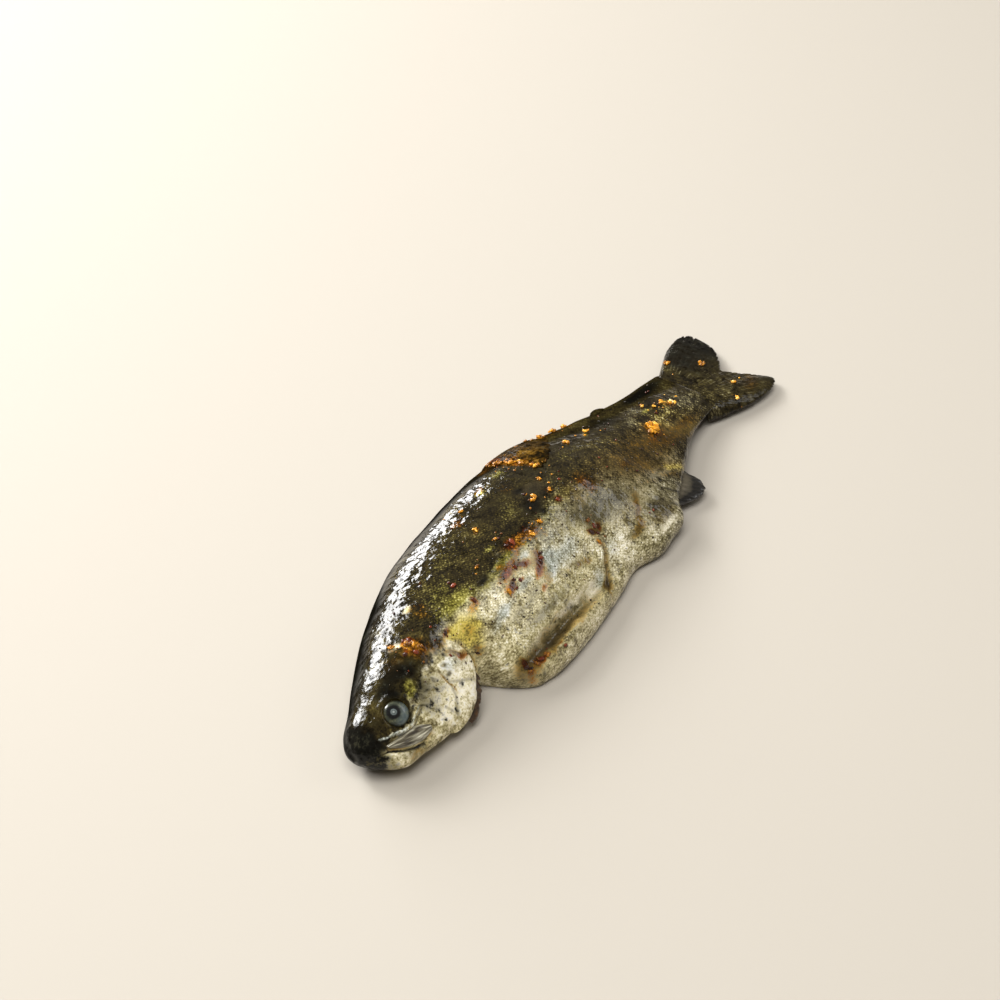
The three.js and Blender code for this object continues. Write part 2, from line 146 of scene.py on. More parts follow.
def near_line(along, off, line, width):
    """1 on a line through points (along, off), falling away over a width."""
    nearest = np.full(np.shape(along), 1e9)
    for (a, b), (c, d) in zip(line, line[1:]):
        t = np.clip(((along - a) * (c - a) + (off - b) * (d - b)) / ((c - a) ** 2 + (d - b) ** 2), 0, 1)
        nearest = np.minimum(nearest, np.hypot(along - mix(a, c, t), off - mix(b, d, t)))
    return np.exp(-(nearest / width) ** 2)


def patch(along, off, centre, radii, turn=0):
    """1 in the middle of an oval, falling away to its edge; turn is in degrees."""
    c, s = math.cos(math.radians(turn)), math.sin(math.radians(turn))
    x, y = along - centre[0], off - centre[1]
    return np.exp(-((x * c + y * s) / radii[0]) ** 2 - ((y * c - x * s) / radii[1]) ** 2)


def curve_value(x, points):
    """A value on the straight lines that join (x, value) points."""
    xs, values = zip(*points)
    return np.interp(x, xs, values)


# ---------------------------------------------------------------- the body's surface
def heading(at):
    """The spine's turn from the straight, in radians, at a place along the body."""
    nose = NOSE_TURN * np.maximum(0, 1 - at / NOSE_END) ** 2
    return np.radians(nose + FRONT_SWEEP * (1 - at) - TAIL_SWEEP * at * at)


SPINE_TURNS = heading((np.arange(SPINE_STEPS) + 0.5) / SPINE_STEPS)
SPINE_X = np.append(0, np.cumsum(np.cos(SPINE_TURNS))) * BODY_LENGTH / SPINE_STEPS
SPINE_Y = np.append(0, np.cumsum(np.sin(SPINE_TURNS))) * BODY_LENGTH / SPINE_STEPS
SPINE_PLACES = np.linspace(0, 1, SPINE_STEPS + 1)


def beside_spine(at, off, height):
    """The point that lies a distance off the spine at a place along it, which may be past its end."""
    inside = np.clip(at, 0, 1)
    turn = heading(inside)
    past = (at - inside) * BODY_LENGTH
    x = np.interp(inside, SPINE_PLACES, SPINE_X) + np.cos(turn) * past - np.sin(turn) * off
    y = np.interp(inside, SPINE_PLACES, SPINE_Y) + np.sin(turn) * past + np.cos(turn) * off
    return np.stack(np.broadcast_arrays(x, y, height), -1) + SPINE_START


def reach_off(at, off):
    """How far the outline stands off the spine, on the side that off or a cosine is on."""
    return np.where(off > 0, section("back", at), section("belly", at))


def skin(at, angle):
    """The bare skin: angle 0 is the back's edge, 90 degrees the top of the flank, 180 the belly's edge."""
    tip = np.clip(at / SNOUT_ROUND, 0, 1)
    rounded = np.sqrt(1 - (1 - tip) ** 2)
    side, rise = np.cos(angle), np.sin(angle)
    off = side * rounded * reach_off(at, side)
    low = smooth(0, 1, -side)
    middle = mix(section("mid", at), section("rim", at), low)
    thickness = rounded * (1 - EDGE_THINNING * low)
    below = middle - section("under", at) * thickness * np.maximum(0, -rise) ** UNDER_FULLNESS
    folded = smooth(*FOLD_DEEPENS, at) * (1 - smooth(*FOLD_RUNS_OUT, at))
    from_fold = off - (FOLD_LINE - FOLD_RISE * (at - FOLD_MIDDLE))
    slope = np.where(from_fold > 0, FOLD_STEEP, FOLD_SHALLOW)
    swell = WALL_SWELL * np.exp(-((from_fold + WALL_OFFSET) / WALL_WIDTH) ** 2)
    relief = (swell - FOLD_DEPTH * np.exp(-(from_fold / slope) ** 2)) * folded * smooth(0, FOLD_FADE, rise)
    above = middle + section("over", at) * thickness * np.maximum(0, rise) ** FLANK_FULLNESS + relief
    return beside_spine(at, off, np.where(rise < 0, np.maximum(0, below), above))


def angle_off(at, off):
    """The angle at which the upper skin stands a distance off the spine."""
    return np.arccos(np.clip(off / reach_off(at, off), -1, 1))


def normal_of(at, angle):
    """The bare skin's outward normal."""
    along = skin(at + NORMAL_STEP, angle) - skin(at - NORMAL_STEP, angle)
    around = skin(at, angle + NORMAL_STEP) - skin(at, angle - NORMAL_STEP)
    normal = np.cross(around, along)
    return normal / np.maximum(np.linalg.norm(normal, axis=-1, keepdims=True), 1e-9)


def lifted(at, angle, lift):
    """A point lifted off the skin along its normal, or sunk into it."""
    point = skin(at, angle) + normal_of(at, angle) * np.asarray(lift)[..., None]
    point[..., 2] = np.maximum(0, point[..., 2])
    return point


# ---------------------------------------------------------------- relief that the skin carries
WRINKLE = [(144, -28), (142, -30.5), (135, -35.5), (129, -40)]
FOLD_TAIL = [(108, -31.6), (120, -33), (132, -34), (141, -31)]
LATERAL_LINE = [(60, 3), (90, 0), (130, -4), (170, -6), (215, -4), (258, -1)]
CHEEK_RIDGE = [(6.5, -6), (9, -8.4), (12, -9.9), (15, -11.9), (19, -13.3), (23, -13), (27, -12.6)]
MOUTH_LINE = [(1.5, -10.2), (5, -11.3), (8.5, -14.8), (13, -17.9), (17.5, -19.8)]
THROAT_SLIT = [(54, -9), (58, -13), (60, -19), (63, -24)]
EYE = (18.9, -7.4)
# Creases and ridges: the line, its height, its width, and how far it lies from the line, along and off.
RELIEF_LINES = [
    (WRINKLE, -0.9, 0.9, 0, 0), (WRINKLE, 0.5, 1.3, -1.7, 0.6), (FOLD_TAIL, -0.45, 0.8, 0, 0),
    (LATERAL_LINE, -0.14, 0.7, 0, 0), (THROAT_SLIT, -1.1, 1.3, 0, 0), (CHEEK_RIDGE, 0.6, 0.6, 0, 0),
    (CHEEK_RIDGE, -0.5, 0.6, 0, -1.3),
]
MOUTH_DEPTH = 1.1
MOUTH_WIDTH = 0.55
# Two nostrils and the wedge behind the eye: centre, half sizes, turn in degrees and height.
PITS = [
    ((11.4, 0.4), (0.7, 0.5), 0, -0.8), ((12.9, -0.4), (0.5, 0.4), 0, -0.6),
    ((22.8, -11.2), (1.7, 0.9), 35, -0.8),
]
SOCKET_RIM = {"radius": 6.3, "width": 1.1, "height": 0.5}
SOCKET_SIDES = (4.0, 5.6)
SOCKET_DEPTH = 1.6


def skin_relief(along, off, rise):
    """Fine relief in millimetres, on the upper side only."""
    upper = smooth(0.05, 0.3, rise)
    belly_wall = smooth(-26, -36, off) * smooth(66, 80, along) * (1 - smooth(150, 175, along))
    flesh = 0.28 * ripple(along, off, 26, 1) + 0.13 * ripple(along, off, 11, 2)
    limp = (0.3 * ripple(along, off, 7, 3) + 0.35 * ripple(along, off * 1.6, 13, 4)) * belly_wall
    vent = 0.3 * ripple(along, off, 6, 5) * patch(along, off, (176, -33), (16, 9))
    lines = sum(
        height * near_line(along - ahead, off - beside, line, width)
        for line, height, width, ahead, beside in RELIEF_LINES
    )
    mouth = -MOUTH_DEPTH * near_line(along, off, MOUTH_LINE, MOUTH_WIDTH) * smooth(1, 4, along)
    from_eye = np.hypot(along - EYE[0], off - EYE[1])
    rim = SOCKET_RIM["height"] * np.exp(-((from_eye - SOCKET_RIM["radius"]) / SOCKET_RIM["width"]) ** 2)
    socket = rim - SOCKET_DEPTH * (1 - smooth(*SOCKET_SIDES, from_eye))
    pits = sum(height * patch(along, off, centre, radii, turn) for centre, radii, turn, height in PITS)
    return upper * (flesh + limp + vent + lines + mouth + socket + pits)


# ---------------------------------------------------------------- the gill cover's place
COVER_ANGLES = (1.85, 3.32)
COVER_FRONT = 0.115
COVER_REAR = 0.199
COVER_BULGE = 0.03
COVER_SWEEP = 0.075
COVER_TURNS_UNDER = (2.95, 3.35)
COVER_SUNK = 0.3


def cover_rear(angle):
    """The gill cover's rear edge, by angle round the body: rounded at the back, swept forward below."""
    low = smooth(1.9, 3.3, angle)
    start, end = COVER_TURNS_UNDER
    turned_under = np.maximum(0, angle - start) / (end - start)
    bulge = COVER_BULGE * np.sin(math.pi * np.minimum(1, 0.2 + low)) ** 0.6
    return COVER_REAR + bulge - COVER_SWEEP * turned_under ** 2


def cover_rise(u, v):
    """How far the gill cover stands off the skin: sunk at its front and top, proud at its free edge."""
    return mix(-COVER_SUNK, GILL_COVER_LIFT, smooth(0, 0.75, u) * smooth(0, 0.3, v))


def cover_height(at, angle):
    """The gill cover's rise at a place on the skin, or none where there is no cover."""
    u = (at - COVER_FRONT) / (cover_rear(angle) - COVER_FRONT)
    v = (angle - COVER_ANGLES[0]) / (COVER_ANGLES[1] - COVER_ANGLES[0])
    on_it = (u > 0) & (u < 1) & (v > 0) & (v < 1)
    return np.where(on_it, cover_rise(u, v), 0)


def resting_place(along, off, lift):
    """Where a crumb lies on the fish: the point, and the turn from upright to the surface's normal."""
    at = np.float64(along / BODY_LENGTH)
    angle = angle_off(at, off)
    rise = np.sin(angle)
    height = np.maximum(cover_height(at, angle), skin_relief(along, off, rise)) + lift
    point = lifted(at, angle, height)
    normal = Vector(normal_of(at, angle))
    return Matrix.Translation(Vector(point) * MM) @ normal.to_track_quat("Z", "Y").to_matrix().to_4x4()


# ---------------------------------------------------------------- meshes
MERGE_DISTANCE = 0.02 * MM


def make_piece(name, mesh, material):
    """Makes a finished mesh a piece that rides on the fish and stands for its solid."""
    mesh.polygons.foreach_set("use_smooth", np.ones(len(mesh.polygons), bool))
    mesh.materials.append(material)
    piece = bpy.data.objects.new(name, mesh)
    bpy.context.scene.collection.objects.link(piece)
    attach(piece, "root")
    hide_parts(NODE)


def shaped_grid(name, columns, rows, place, material, marks=None, map_mm=None):
    """A grid of u and v, 0 to 1, bent to its place in millimetres; marks gives named values for each point,
    and map_mm the surface coordinates for its UV map, in millimetres."""
    grid = bmesh.new()
    grid.loops.layers.uv.new("surface")
    bmesh.ops.create_grid(grid, x_segments=columns, y_segments=rows, size=0.5, calc_uvs=True)
    mesh = bpy.data.meshes.new(name)
    grid.to_mesh(mesh)
    grid.free()
    flat = np.empty(len(mesh.vertices) * 3)
    mesh.vertices.foreach_get("co", flat)
    u, v = flat[0::3] + 0.5, flat[1::3] + 0.5
    mesh.vertices.foreach_set("co", (place(u, v) * MM).ravel())
    for mark, values in (marks(u, v) if marks else {}).items():
        mesh.attributes.new(mark, "FLOAT", "POINT").data.foreach_set("value", values.astype(np.float32))
    if map_mm:
        layer = mesh.uv_layers["surface"].data
        corners = np.empty(len(layer) * 2)
        layer.foreach_get("uv", corners)
        layer.foreach_set("uv", (np.stack(map_mm(corners[0::2], corners[1::2]), -1) * MM).ravel())
    closed = bmesh.new()
    closed.from_mesh(mesh)
    bmesh.ops.remove_doubles(closed, verts=closed.verts, dist=MERGE_DISTANCE)
    bmesh.ops.recalc_face_normals(closed, faces=closed.faces)
    closed.to_mesh(mesh)
    closed.free()
    make_piece(name, mesh, material)


# ---------------------------------------------------------------- materials
def add(tree, kind, inputs=None, **settings):
    """Adds a node with its settings and its sockets' values. A value that is a socket is linked instead."""
    node = tree.nodes.new(kind)
    for name, value in settings.items():
        setattr(node, name, value)
    for name, value in (inputs or {}).items():
        if isinstance(value, bpy.types.NodeSocket):
            tree.links.new(value, node.inputs[name])
        else:
            node.inputs[name].default_value = value
    return node


def new_material(name, finish):
    """A material named for its real one, its node tree, and its shader with the values that are the same
    all over."""
    material = bpy.data.materials.new(name)
    material.use_nodes = True
    tree = material.node_tree
    tree.nodes.clear()
    shader = add(tree, "ShaderNodeBsdfPrincipled", finish)
    add(tree, "ShaderNodeOutputMaterial", {"Surface": shader.outputs[0]})
    return material, tree, shader


def toned(tree, value, stops):
    """The colour that a value picks from stops of (value, colour), blended between them."""
    colour = linear(stops[0][1])
    for (low, _), (high, tone) in zip(stops, stops[1:]):
        share = add(
            tree, "ShaderNodeMapRange", {"Value": value, "From Min": low, "From Max": high},
        ).outputs[0]
        colour = add(
            tree, "ShaderNodeMix", {0: share, 6: colour, 7: linear(tone)}, data_type="RGBA",
        ).outputs[2]
    return colour


# A trout's scales are under 1 mm apart. They are drawn at 1.3 mm, as coarse as they need to be to show.
SCALE_PITCH = 1.3
SPOT_PITCH = 4.4       # millimetres between the small black spots of the skin
SLANT_SHARE = math.sqrt(0.5)   # of a slanting row's length, how much of it runs along the fish
# Clouds of mottling: what they lie on, their size in millimetres and their gain. The strokes lie on the
# skin's own surface, drawn out along the fish, or across it before the tail.
CLOUDS = {
    "coarse": ("place", 9, 2.2), "middle": ("place", 3.0, 2.2), "fine": ("place", 0.85, 2.8),
    "stroke": ("streaked", 0.75, 3.6), "across": ("across", 0.8, 3.6),
}
# The skin's colours, each as stops of (unevenness, colour), laid over one another in this order. The last two
# numbers are how far the mottling breaks each one up, and how soft its edge is.
BARE_TONES = [(-0.5, "#100d07"), (-0.1, "#282210"), (0.2, "#433b1c"), (0.6, "#867b4b")]
SKIN_TONES = {
    "pale": ([(-0.55, "#6d6240"), (-0.25, "#aca275"), (0.03, "#e2d8af"), (0.28, "#fffce9")], 0.4, 0.5),
    "cream": ([(-0.5, "#b8ad80"), (-0.2, "#efe7c8"), (0.1, "#fef9e8"), (0.35, "#fffef8")], 0.4, 0.5),
    "tan": ([(-0.5, "#403418"), (-0.15, "#5f4f28"), (0.15, "#7f6c3b"), (0.45, "#aa9460")], 0.35, 0.5),
    "frost": ([(-0.5, "#858b7c"), (-0.15, "#c5ccc2"), (0.12, "#ebefe9"), (0.4, "#ffffff")], 0.6, 0.5),
    "grey": ([(-0.5, "#2c281b"), (-0.15, "#56503a"), (0.15, "#7d7658"), (0.45, "#b3ab8a")], 0.7, 0.5),
    "olive": ([(-0.5, "#3a3410"), (-0.15, "#706a2c"), (0.15, "#9c954a"), (0.45, "#cfca90")], 0.45, 0.5),
    "gold": ([(-0.5, "#90802f"), (-0.15, "#d2bf58"), (0.15, "#f2e486"), (0.45, "#fffad2")], 0.8, 0.5),
    "brown": ([(-0.5, "#1a1104"), (-0.15, "#3d2909"), (0.15, "#624513"), (0.45, "#8f6d2a")], 0.7, 0.5),
    "slate_and_fold_shade": ([(-0.5, "#1f1a11"), (-0.1, "#39311f"), (0.2, "#50462d"), (0.5, "#746a4b")], 0.15, 0.5),
    "paprika": ([(-0.5, "#3a2206"), (-0.1, "#744a10"), (0.2, "#a8731f"), (0.5, "#dcb760")], 0.6, 0.5),
    "rust": ([(-0.4, "#1e0a03"), (0.0, "#50210a"), (0.4, "#8c4d18")], 0.4, 0.45),
    "black": ([(-0.4, "#030303"), (0.1, "#0e0e0a"), (0.5, "#2b2a1f")], 0.8, 0.45),
}

# Oil and spice soak into the skin round their stains, which tints it in these colours.
SOAKED_TINTS = {"brown": "#d3bd8c", "paprika": "#dcab5a", "rust": "#cd9045"}


def trout_skin_material():
    """Raw trout skin, wet with oil: olive-black back, silver flank with a mother-of-pearl glint, cream belly.
    The fine scales break the lights into glints, with more painted on as lighter scales, and the oil gives a
    sharp white highlight along the back."""
    material, tree, shader = new_material("raw_trout_skin_wet_with_oil", {
        "IOR": 1.38, "Specular IOR Level": 0.0, "Coat Roughness": 0.05, "Coat IOR": 1.46,
    })
    surface = add(tree, "ShaderNodeUVMap", uv_map="surface").outputs[0]
    place = add(tree, "ShaderNodeTexCoord").outputs["Object"]
    masks = {
        name: add(tree, "ShaderNodeAttribute", attribute_name=name).outputs["Fac"]
        for name in [*SKIN_TONES, "scaled", "oiled", "drawn"]
    }
    # Scales: cells in slanting rows. Each rises towards its free rear edge and drops to the next one.
    slanting = add(
        tree, "ShaderNodeMapping",
        {"Vector": surface, "Rotation": (0.0, 0.0, math.pi / 4), "Scale": (1.0, 1.25, 1.0)},
    ).outputs[0]
    scales = add(
        tree, "ShaderNodeTexVoronoi",
        {"Vector": slanting, "Scale": 1 / (SCALE_PITCH * MM), "Randomness": 0.55},
        voronoi_dimensions="2D", feature="F1",
    )
    scale_tone = add(tree, "ShaderNodeSeparateColor", {"Color": scales.outputs["Color"]}).outputs[0]
    dome = add(
        tree, "ShaderNodeMapRange",
        {"Value": scales.outputs["Distance"], "From Min": 0.0, "From Max": 0.7, "To Min": 1.0, "To Max": 0.0},
        interpolation_type="SMOOTHSTEP",
    ).outputs[0]
    in_scale = add(
        tree, "ShaderNodeVectorMath", {0: slanting, 1: scales.outputs["Position"]}, operation="SUBTRACT",
    ).outputs[0]
    along_scale = add(
        tree, "ShaderNodeVectorMath",
        {0: in_scale, 1: (SLANT_SHARE, SLANT_SHARE, 0.0)}, operation="DOT_PRODUCT",
    ).outputs["Value"]
    rising = add(
        tree, "ShaderNodeMath", {0: along_scale, 1: 1 / (SCALE_PITCH * MM), 2: 0.5}, operation="MULTIPLY_ADD",
    ).outputs[0]
    lip = add(tree, "ShaderNodeMath", {0: rising, 1: dome}, operation="MULTIPLY").outputs[0]
    lip = add(tree, "ShaderNodeMath", {0: lip, 1: masks["scaled"]}, operation="MULTIPLY").outputs[0]
    # Painted glints: some scales are painted lighter than others, as if they caught the light.
    bright_scale = add(
        tree, "ShaderNodeMapRange", {"Value": scale_tone, "From Min": 0.2, "From Max": 0.9, "To Min": 0.25},
    ).outputs[0]
    glint = add(tree, "ShaderNodeMath", {0: lip, 1: bright_scale}, operation="MULTIPLY").outputs[0]
    # Mottling in clouds of three sizes and in short strokes, each stretched to about -0.5 to 0.5.
    fields = {"place": place}
    for name, turn, drawn_out in (("streaked", 0.15, (0.25, 1.0, 1.0)), ("across", -0.2, (1.0, 0.2, 1.0))):
        fields[name] = add(
            tree, "ShaderNodeMapping", {"Vector": surface, "Rotation": (0.0, 0.0, turn), "Scale": drawn_out},
        ).outputs[0]
    clouds = {}
    for name, (field, size, gain) in CLOUDS.items():
        noise = add(
            tree, "ShaderNodeTexNoise",
            {"Vector": fields[field], "Scale": 1 / (size * MM), "Detail": 3.0, "Roughness": 0.65},
        ).outputs[0]
        clouds[name] = add(
            tree, "ShaderNodeMath", {0: noise, 1: gain, 2: -0.5 * gain}, operation="MULTIPLY_ADD",
        ).outputs[0]
    # How strongly each kind of mottling shows, from where a mask is 0 to where it is 1. The scales' painted
    # glints show most on the dark flank.
    shares = {}
    for name, mask, least, most in (("glints", "pale", 0.8, 0.55), ("strokes", "scaled", 0.1, 0.24),
                                    ("fine", "drawn", 0.48, 0.3), ("blotches", "scaled", 0.9, 0.4)):
        shares[name] = add(
            tree, "ShaderNodeMapRange", {"Value": masks[mask], "To Min": least, "To Max": most},
        ).outputs[0]
    shown = add(
        tree, "ShaderNodeMath", {0: shares["glints"], 1: masks["scaled"]}, operation="MULTIPLY",
    ).outputs[0]
    glint = add(tree, "ShaderNodeMath", {0: glint, 1: -0.24}, operation="ADD").outputs[0]
    uneven = add(tree, "ShaderNodeMath", {0: glint, 1: shown, 2: -0.13}, operation="MULTIPLY_ADD").outputs[0]
    # Before the tail the skin is drawn in strokes that run across the fish.
    shares["strokes"] = add(
        tree, "ShaderNodeMath", {0: masks["drawn"], 1: 0.16, 2: shares["strokes"]}, operation="MULTIPLY_ADD",
    ).outputs[0]
    stroke = add(
        tree, "ShaderNodeMix",
        {0: masks["drawn"], 2: clouds["stroke"], 3: clouds["across"]}, data_type="FLOAT",
    ).outputs[0]
    for share, field in ((shares["fine"], clouds["fine"]), (shares["blotches"], clouds["middle"]),
                         (0.56, clouds["coarse"]), (shares["strokes"], stroke)):
        uneven = add(
            tree, "ShaderNodeMath", {0: field, 1: share, 2: uneven}, operation="MULTIPLY_ADD",
        ).outputs[0]

    colour = toned(tree, uneven, BARE_TONES)
    for name, (tones, unevenness, softness) in SKIN_TONES.items():
        broken = add(
            tree, "ShaderNodeMath", {0: uneven, 1: unevenness, 2: masks[name]}, operation="MULTIPLY_ADD",
        ).outputs[0]
        present = add(
            tree, "ShaderNodeMapRange", {"Value": masks[name], "From Min": 0.0, "From Max": 0.25},
        ).outputs[0]
        edge = 0.5 - softness
        if name in SOAKED_TINTS:
            soaked = add(
                tree, "ShaderNodeMapRange", {"Value": broken, "From Min": 0.0, "From Max": 0.5},
                interpolation_type="SMOOTHSTEP",
            ).outputs[0]
            soaked = add(tree, "ShaderNodeMath", {0: soaked, 1: present}, operation="MULTIPLY").outputs[0]
            colour = add(
                tree, "ShaderNodeMix", {0: soaked, 6: colour, 7: linear(SOAKED_TINTS[name])},
                data_type="RGBA", blend_type="MULTIPLY",
            ).outputs[2]
            edge = 0.5 - 0.5 * softness
        share = add(
            tree, "ShaderNodeMapRange", {"Value": broken, "From Min": edge, "From Max": 0.5 + softness},
            interpolation_type="SMOOTHSTEP",
        ).outputs[0]
        share = add(tree, "ShaderNodeMath", {0: share, 1: present}, operation="MULTIPLY").outputs[0]
        colour = add(
            tree, "ShaderNodeMix", {0: share, 6: colour, 7: toned(tree, uneven, tones)}, data_type="RGBA",
        ).outputs[2]
    # Small black spots, one to a cell of the pitch, each of its own size and many too small to see.
    spots = add(
        tree, "ShaderNodeTexVoronoi",
        {"Vector": surface, "Scale": 1 / (SPOT_PITCH * MM), "Randomness": 1.0},
        voronoi_dimensions="2D", feature="F1",
    )
    spot_size = add(tree, "ShaderNodeSeparateColor", {"Color": spots.outputs["Color"]}).outputs[1]
    spot_edge = add(
        tree, "ShaderNodeMath", {0: spot_size, 1: 0.28, 2: -0.17}, operation="MULTIPLY_ADD",
    ).outputs[0]
    outside = add(
        tree, "ShaderNodeMath", {0: spots.outputs["Distance"], 1: spot_edge}, operation="SUBTRACT",
    ).outputs[0]
    outside = add(
        tree, "ShaderNodeMath", {0: clouds["fine"], 1: 0.05, 2: outside}, operation="MULTIPLY_ADD",
    ).outputs[0]
    spot = add(
        tree, "ShaderNodeMapRange", {"Value": outside, "From Min": 0.05, "From Max": -0.03, "To Max": 0.7},
    ).outputs[0]
    colour = add(
        tree, "ShaderNodeMix", {0: spot, 6: colour, 7: linear("#191409")}, data_type="RGBA",
    ).outputs[2]
    tree.links.new(colour, shader.inputs["Base Color"])
    # Mother-of-pearl on the flank shines a little like metal.
    silvered = add(tree, "ShaderNodeMath", {0: masks["pale"], 1: 0.32}, operation="MULTIPLY").outputs[0]
    silvered = add(
        tree, "ShaderNodeMath", {0: masks["frost"], 1: 0.35, 2: silvered}, operation="MULTIPLY_ADD",
    ).outputs[0]
    tree.links.new(silvered, shader.inputs["Metallic"])
    roughness = add(
        tree, "ShaderNodeMapRange",
        {"Value": clouds["fine"], "From Min": -0.4, "From Max": 0.4, "To Min": 0.28, "To Max": 0.5},
    ).outputs[0]
    tree.links.new(roughness, shader.inputs["Roughness"])
    # The oil film has gaps where the skin is rough.
    film = add(
        tree, "ShaderNodeMapRange",
        {"Value": clouds["middle"], "From Min": -0.4, "From Max": -0.1, "To Min": 0.25},
    ).outputs[0]
    film = add(tree, "ShaderNodeMath", {0: film, 1: masks["oiled"]}, operation="MULTIPLY").outputs[0]
    tree.links.new(film, shader.inputs["Coat Weight"])
    # The scales and the skin under the oil, then the oil's own smoother surface over them.
    scale_bump = add(
        tree, "ShaderNodeBump", {"Height": lip, "Strength": 1.0, "Distance": 0.16 * MM},
    ).outputs[0]
    skin_bump = add(
        tree, "ShaderNodeBump",
        {"Height": clouds["fine"], "Normal": scale_bump, "Strength": 1.0, "Distance": 0.1 * MM},
    ).outputs[0]
    tree.links.new(skin_bump, shader.inputs["Normal"])
    oil_waves = add(
        tree, "ShaderNodeTexNoise",
        {"Vector": place, "Scale": 1 / (3.2 * MM), "Detail": 1.0, "Roughness": 0.4},
    ).outputs[0]
    # On the head the oil stands in slightly higher waves, with deeper fine pits.
    heights = []
    for head_share, field in ((1.1, oil_waves), (2.4, clouds["fine"])):
        share = add(
            tree, "ShaderNodeMapRange", {"Value": masks["scaled"], "To Min": head_share, "To Max": 1.0},
        ).outputs[0]
        heights.append(add(tree, "ShaderNodeMath", {0: field, 1: share}, operation="MULTIPLY").outputs[0])
    oil_bump = add(
        tree, "ShaderNodeBump", {"Height": heights[0], "Strength": 1.0, "Distance": 0.45 * MM},
    ).outputs[0]
    for field, depth in ((lip, 0.03), (heights[1], 0.012)):
        oil_bump = add(
            tree, "ShaderNodeBump",
            {"Height": field, "Normal": oil_bump, "Strength": 1.0, "Distance": depth * MM},
        ).outputs[0]
    tree.links.new(oil_bump, shader.inputs["Coat Normal"])
    return material


DRAWN_VENT_RAYS = 9
VENT_EDGE = (0.68, 0.88)        # where the black edge sets in, as shares of the vent fin's length


def gill_skin_material():
    """Limp raw skin at the gill, wet: two browns in cloudy mottling, glossy over a soft bump. The darker
    brown, near black, is partly painted shade, as the skirt lies in the cover's shadow.
    """
    material, tree, shader = new_material("raw_gill_skin_folded_wet", {
        "Roughness": 0.3, "Coat Weight": 0.8, "Coat Roughness": 0.1,
    })
    place = add(tree, "ShaderNodeTexCoord").outputs["Object"]
    clouds = add(
        tree, "ShaderNodeTexNoise",
        {"Vector": place, "Scale": 1 / (1.6 * MM), "Detail": 4.0, "Roughness": 0.6},
    ).outputs[0]
    # The near-black brown is partly painted shade: the skirt lies in the gill cover's shadow.
    colour = toned(tree, clouds, [(0.35, "#0f0905"), (0.65, "#4a331d")])
    tree.links.new(colour, shader.inputs["Base Color"])
    height = add(
        tree, "ShaderNodeBump", {"Height": clouds, "Strength": 1.0, "Distance": 0.25 * MM},
    ).outputs[0]
    tree.links.new(height, shader.inputs["Normal"])
    return material


def vent_fin_material():
    """Fin skin over bony rays, wet: grey membrane, paler rays and a black edge, under a glossy film."""
    material, tree, shader = new_material("raw_vent_fin_skin_over_rays_wet", {
        "Roughness": 0.5, "Coat Weight": 0.9, "Coat Roughness": 0.12,
    })
    surface = add(tree, "ShaderNodeUVMap", uv_map="surface").outputs[0]
    across = add(tree, "ShaderNodeSeparateXYZ", {"Vector": surface})
    place = add(tree, "ShaderNodeTexCoord").outputs["Object"]
    clouds = add(
        tree, "ShaderNodeTexNoise",
        {"Vector": place, "Scale": 1 / (2.2 * MM), "Detail": 4.0, "Roughness": 0.65},
    ).outputs[0]
    wobble = add(tree, "ShaderNodeMath", {0: clouds, 1: 1.6}, operation="MULTIPLY").outputs[0]
    phase = add(
        tree, "ShaderNodeMath",
        {0: across.outputs[1], 1: math.tau * DRAWN_VENT_RAYS / MM, 2: wobble}, operation="MULTIPLY_ADD",
    ).outputs[0]
    wave = add(tree, "ShaderNodeMath", {0: phase}, operation="SINE").outputs[0]
    ridge = add(tree, "ShaderNodeMapRange", {"Value": wave, "From Min": 0.1, "From Max": 1.0}).outputs[0]
    strength = add(tree, "ShaderNodeMapRange", {"Value": clouds, "From Min": 0.4, "From Max": 0.7}).outputs[0]
    ridge = add(tree, "ShaderNodeMath", {0: ridge, 1: strength}, operation="MULTIPLY").outputs[0]
    colour = add(
        tree, "ShaderNodeMix", {0: ridge, 6: linear("#4f493b"), 7: linear("#6d6657")}, data_type="RGBA",
    ).outputs[2]
    outward = add(
        tree, "ShaderNodeMath", {0: clouds, 1: 0.3 * MM, 2: across.outputs[0]}, operation="MULTIPLY_ADD",
    ).outputs[0]
    fringe = add(
        tree, "ShaderNodeMapRange",
        {"Value": outward, "From Min": VENT_EDGE[0] * MM, "From Max": VENT_EDGE[1] * MM},
    ).outputs[0]
    colour = add(
        tree, "ShaderNodeMix", {0: fringe, 6: colour, 7: linear("#060606")}, data_type="RGBA",
    ).outputs[2]
    tree.links.new(colour, shader.inputs["Base Color"])
    height = add(
        tree, "ShaderNodeBump", {"Height": clouds, "Strength": 1.0, "Distance": 0.2 * MM},
    ).outputs[0]
    tree.links.new(height, shader.inputs["Normal"])
    return material


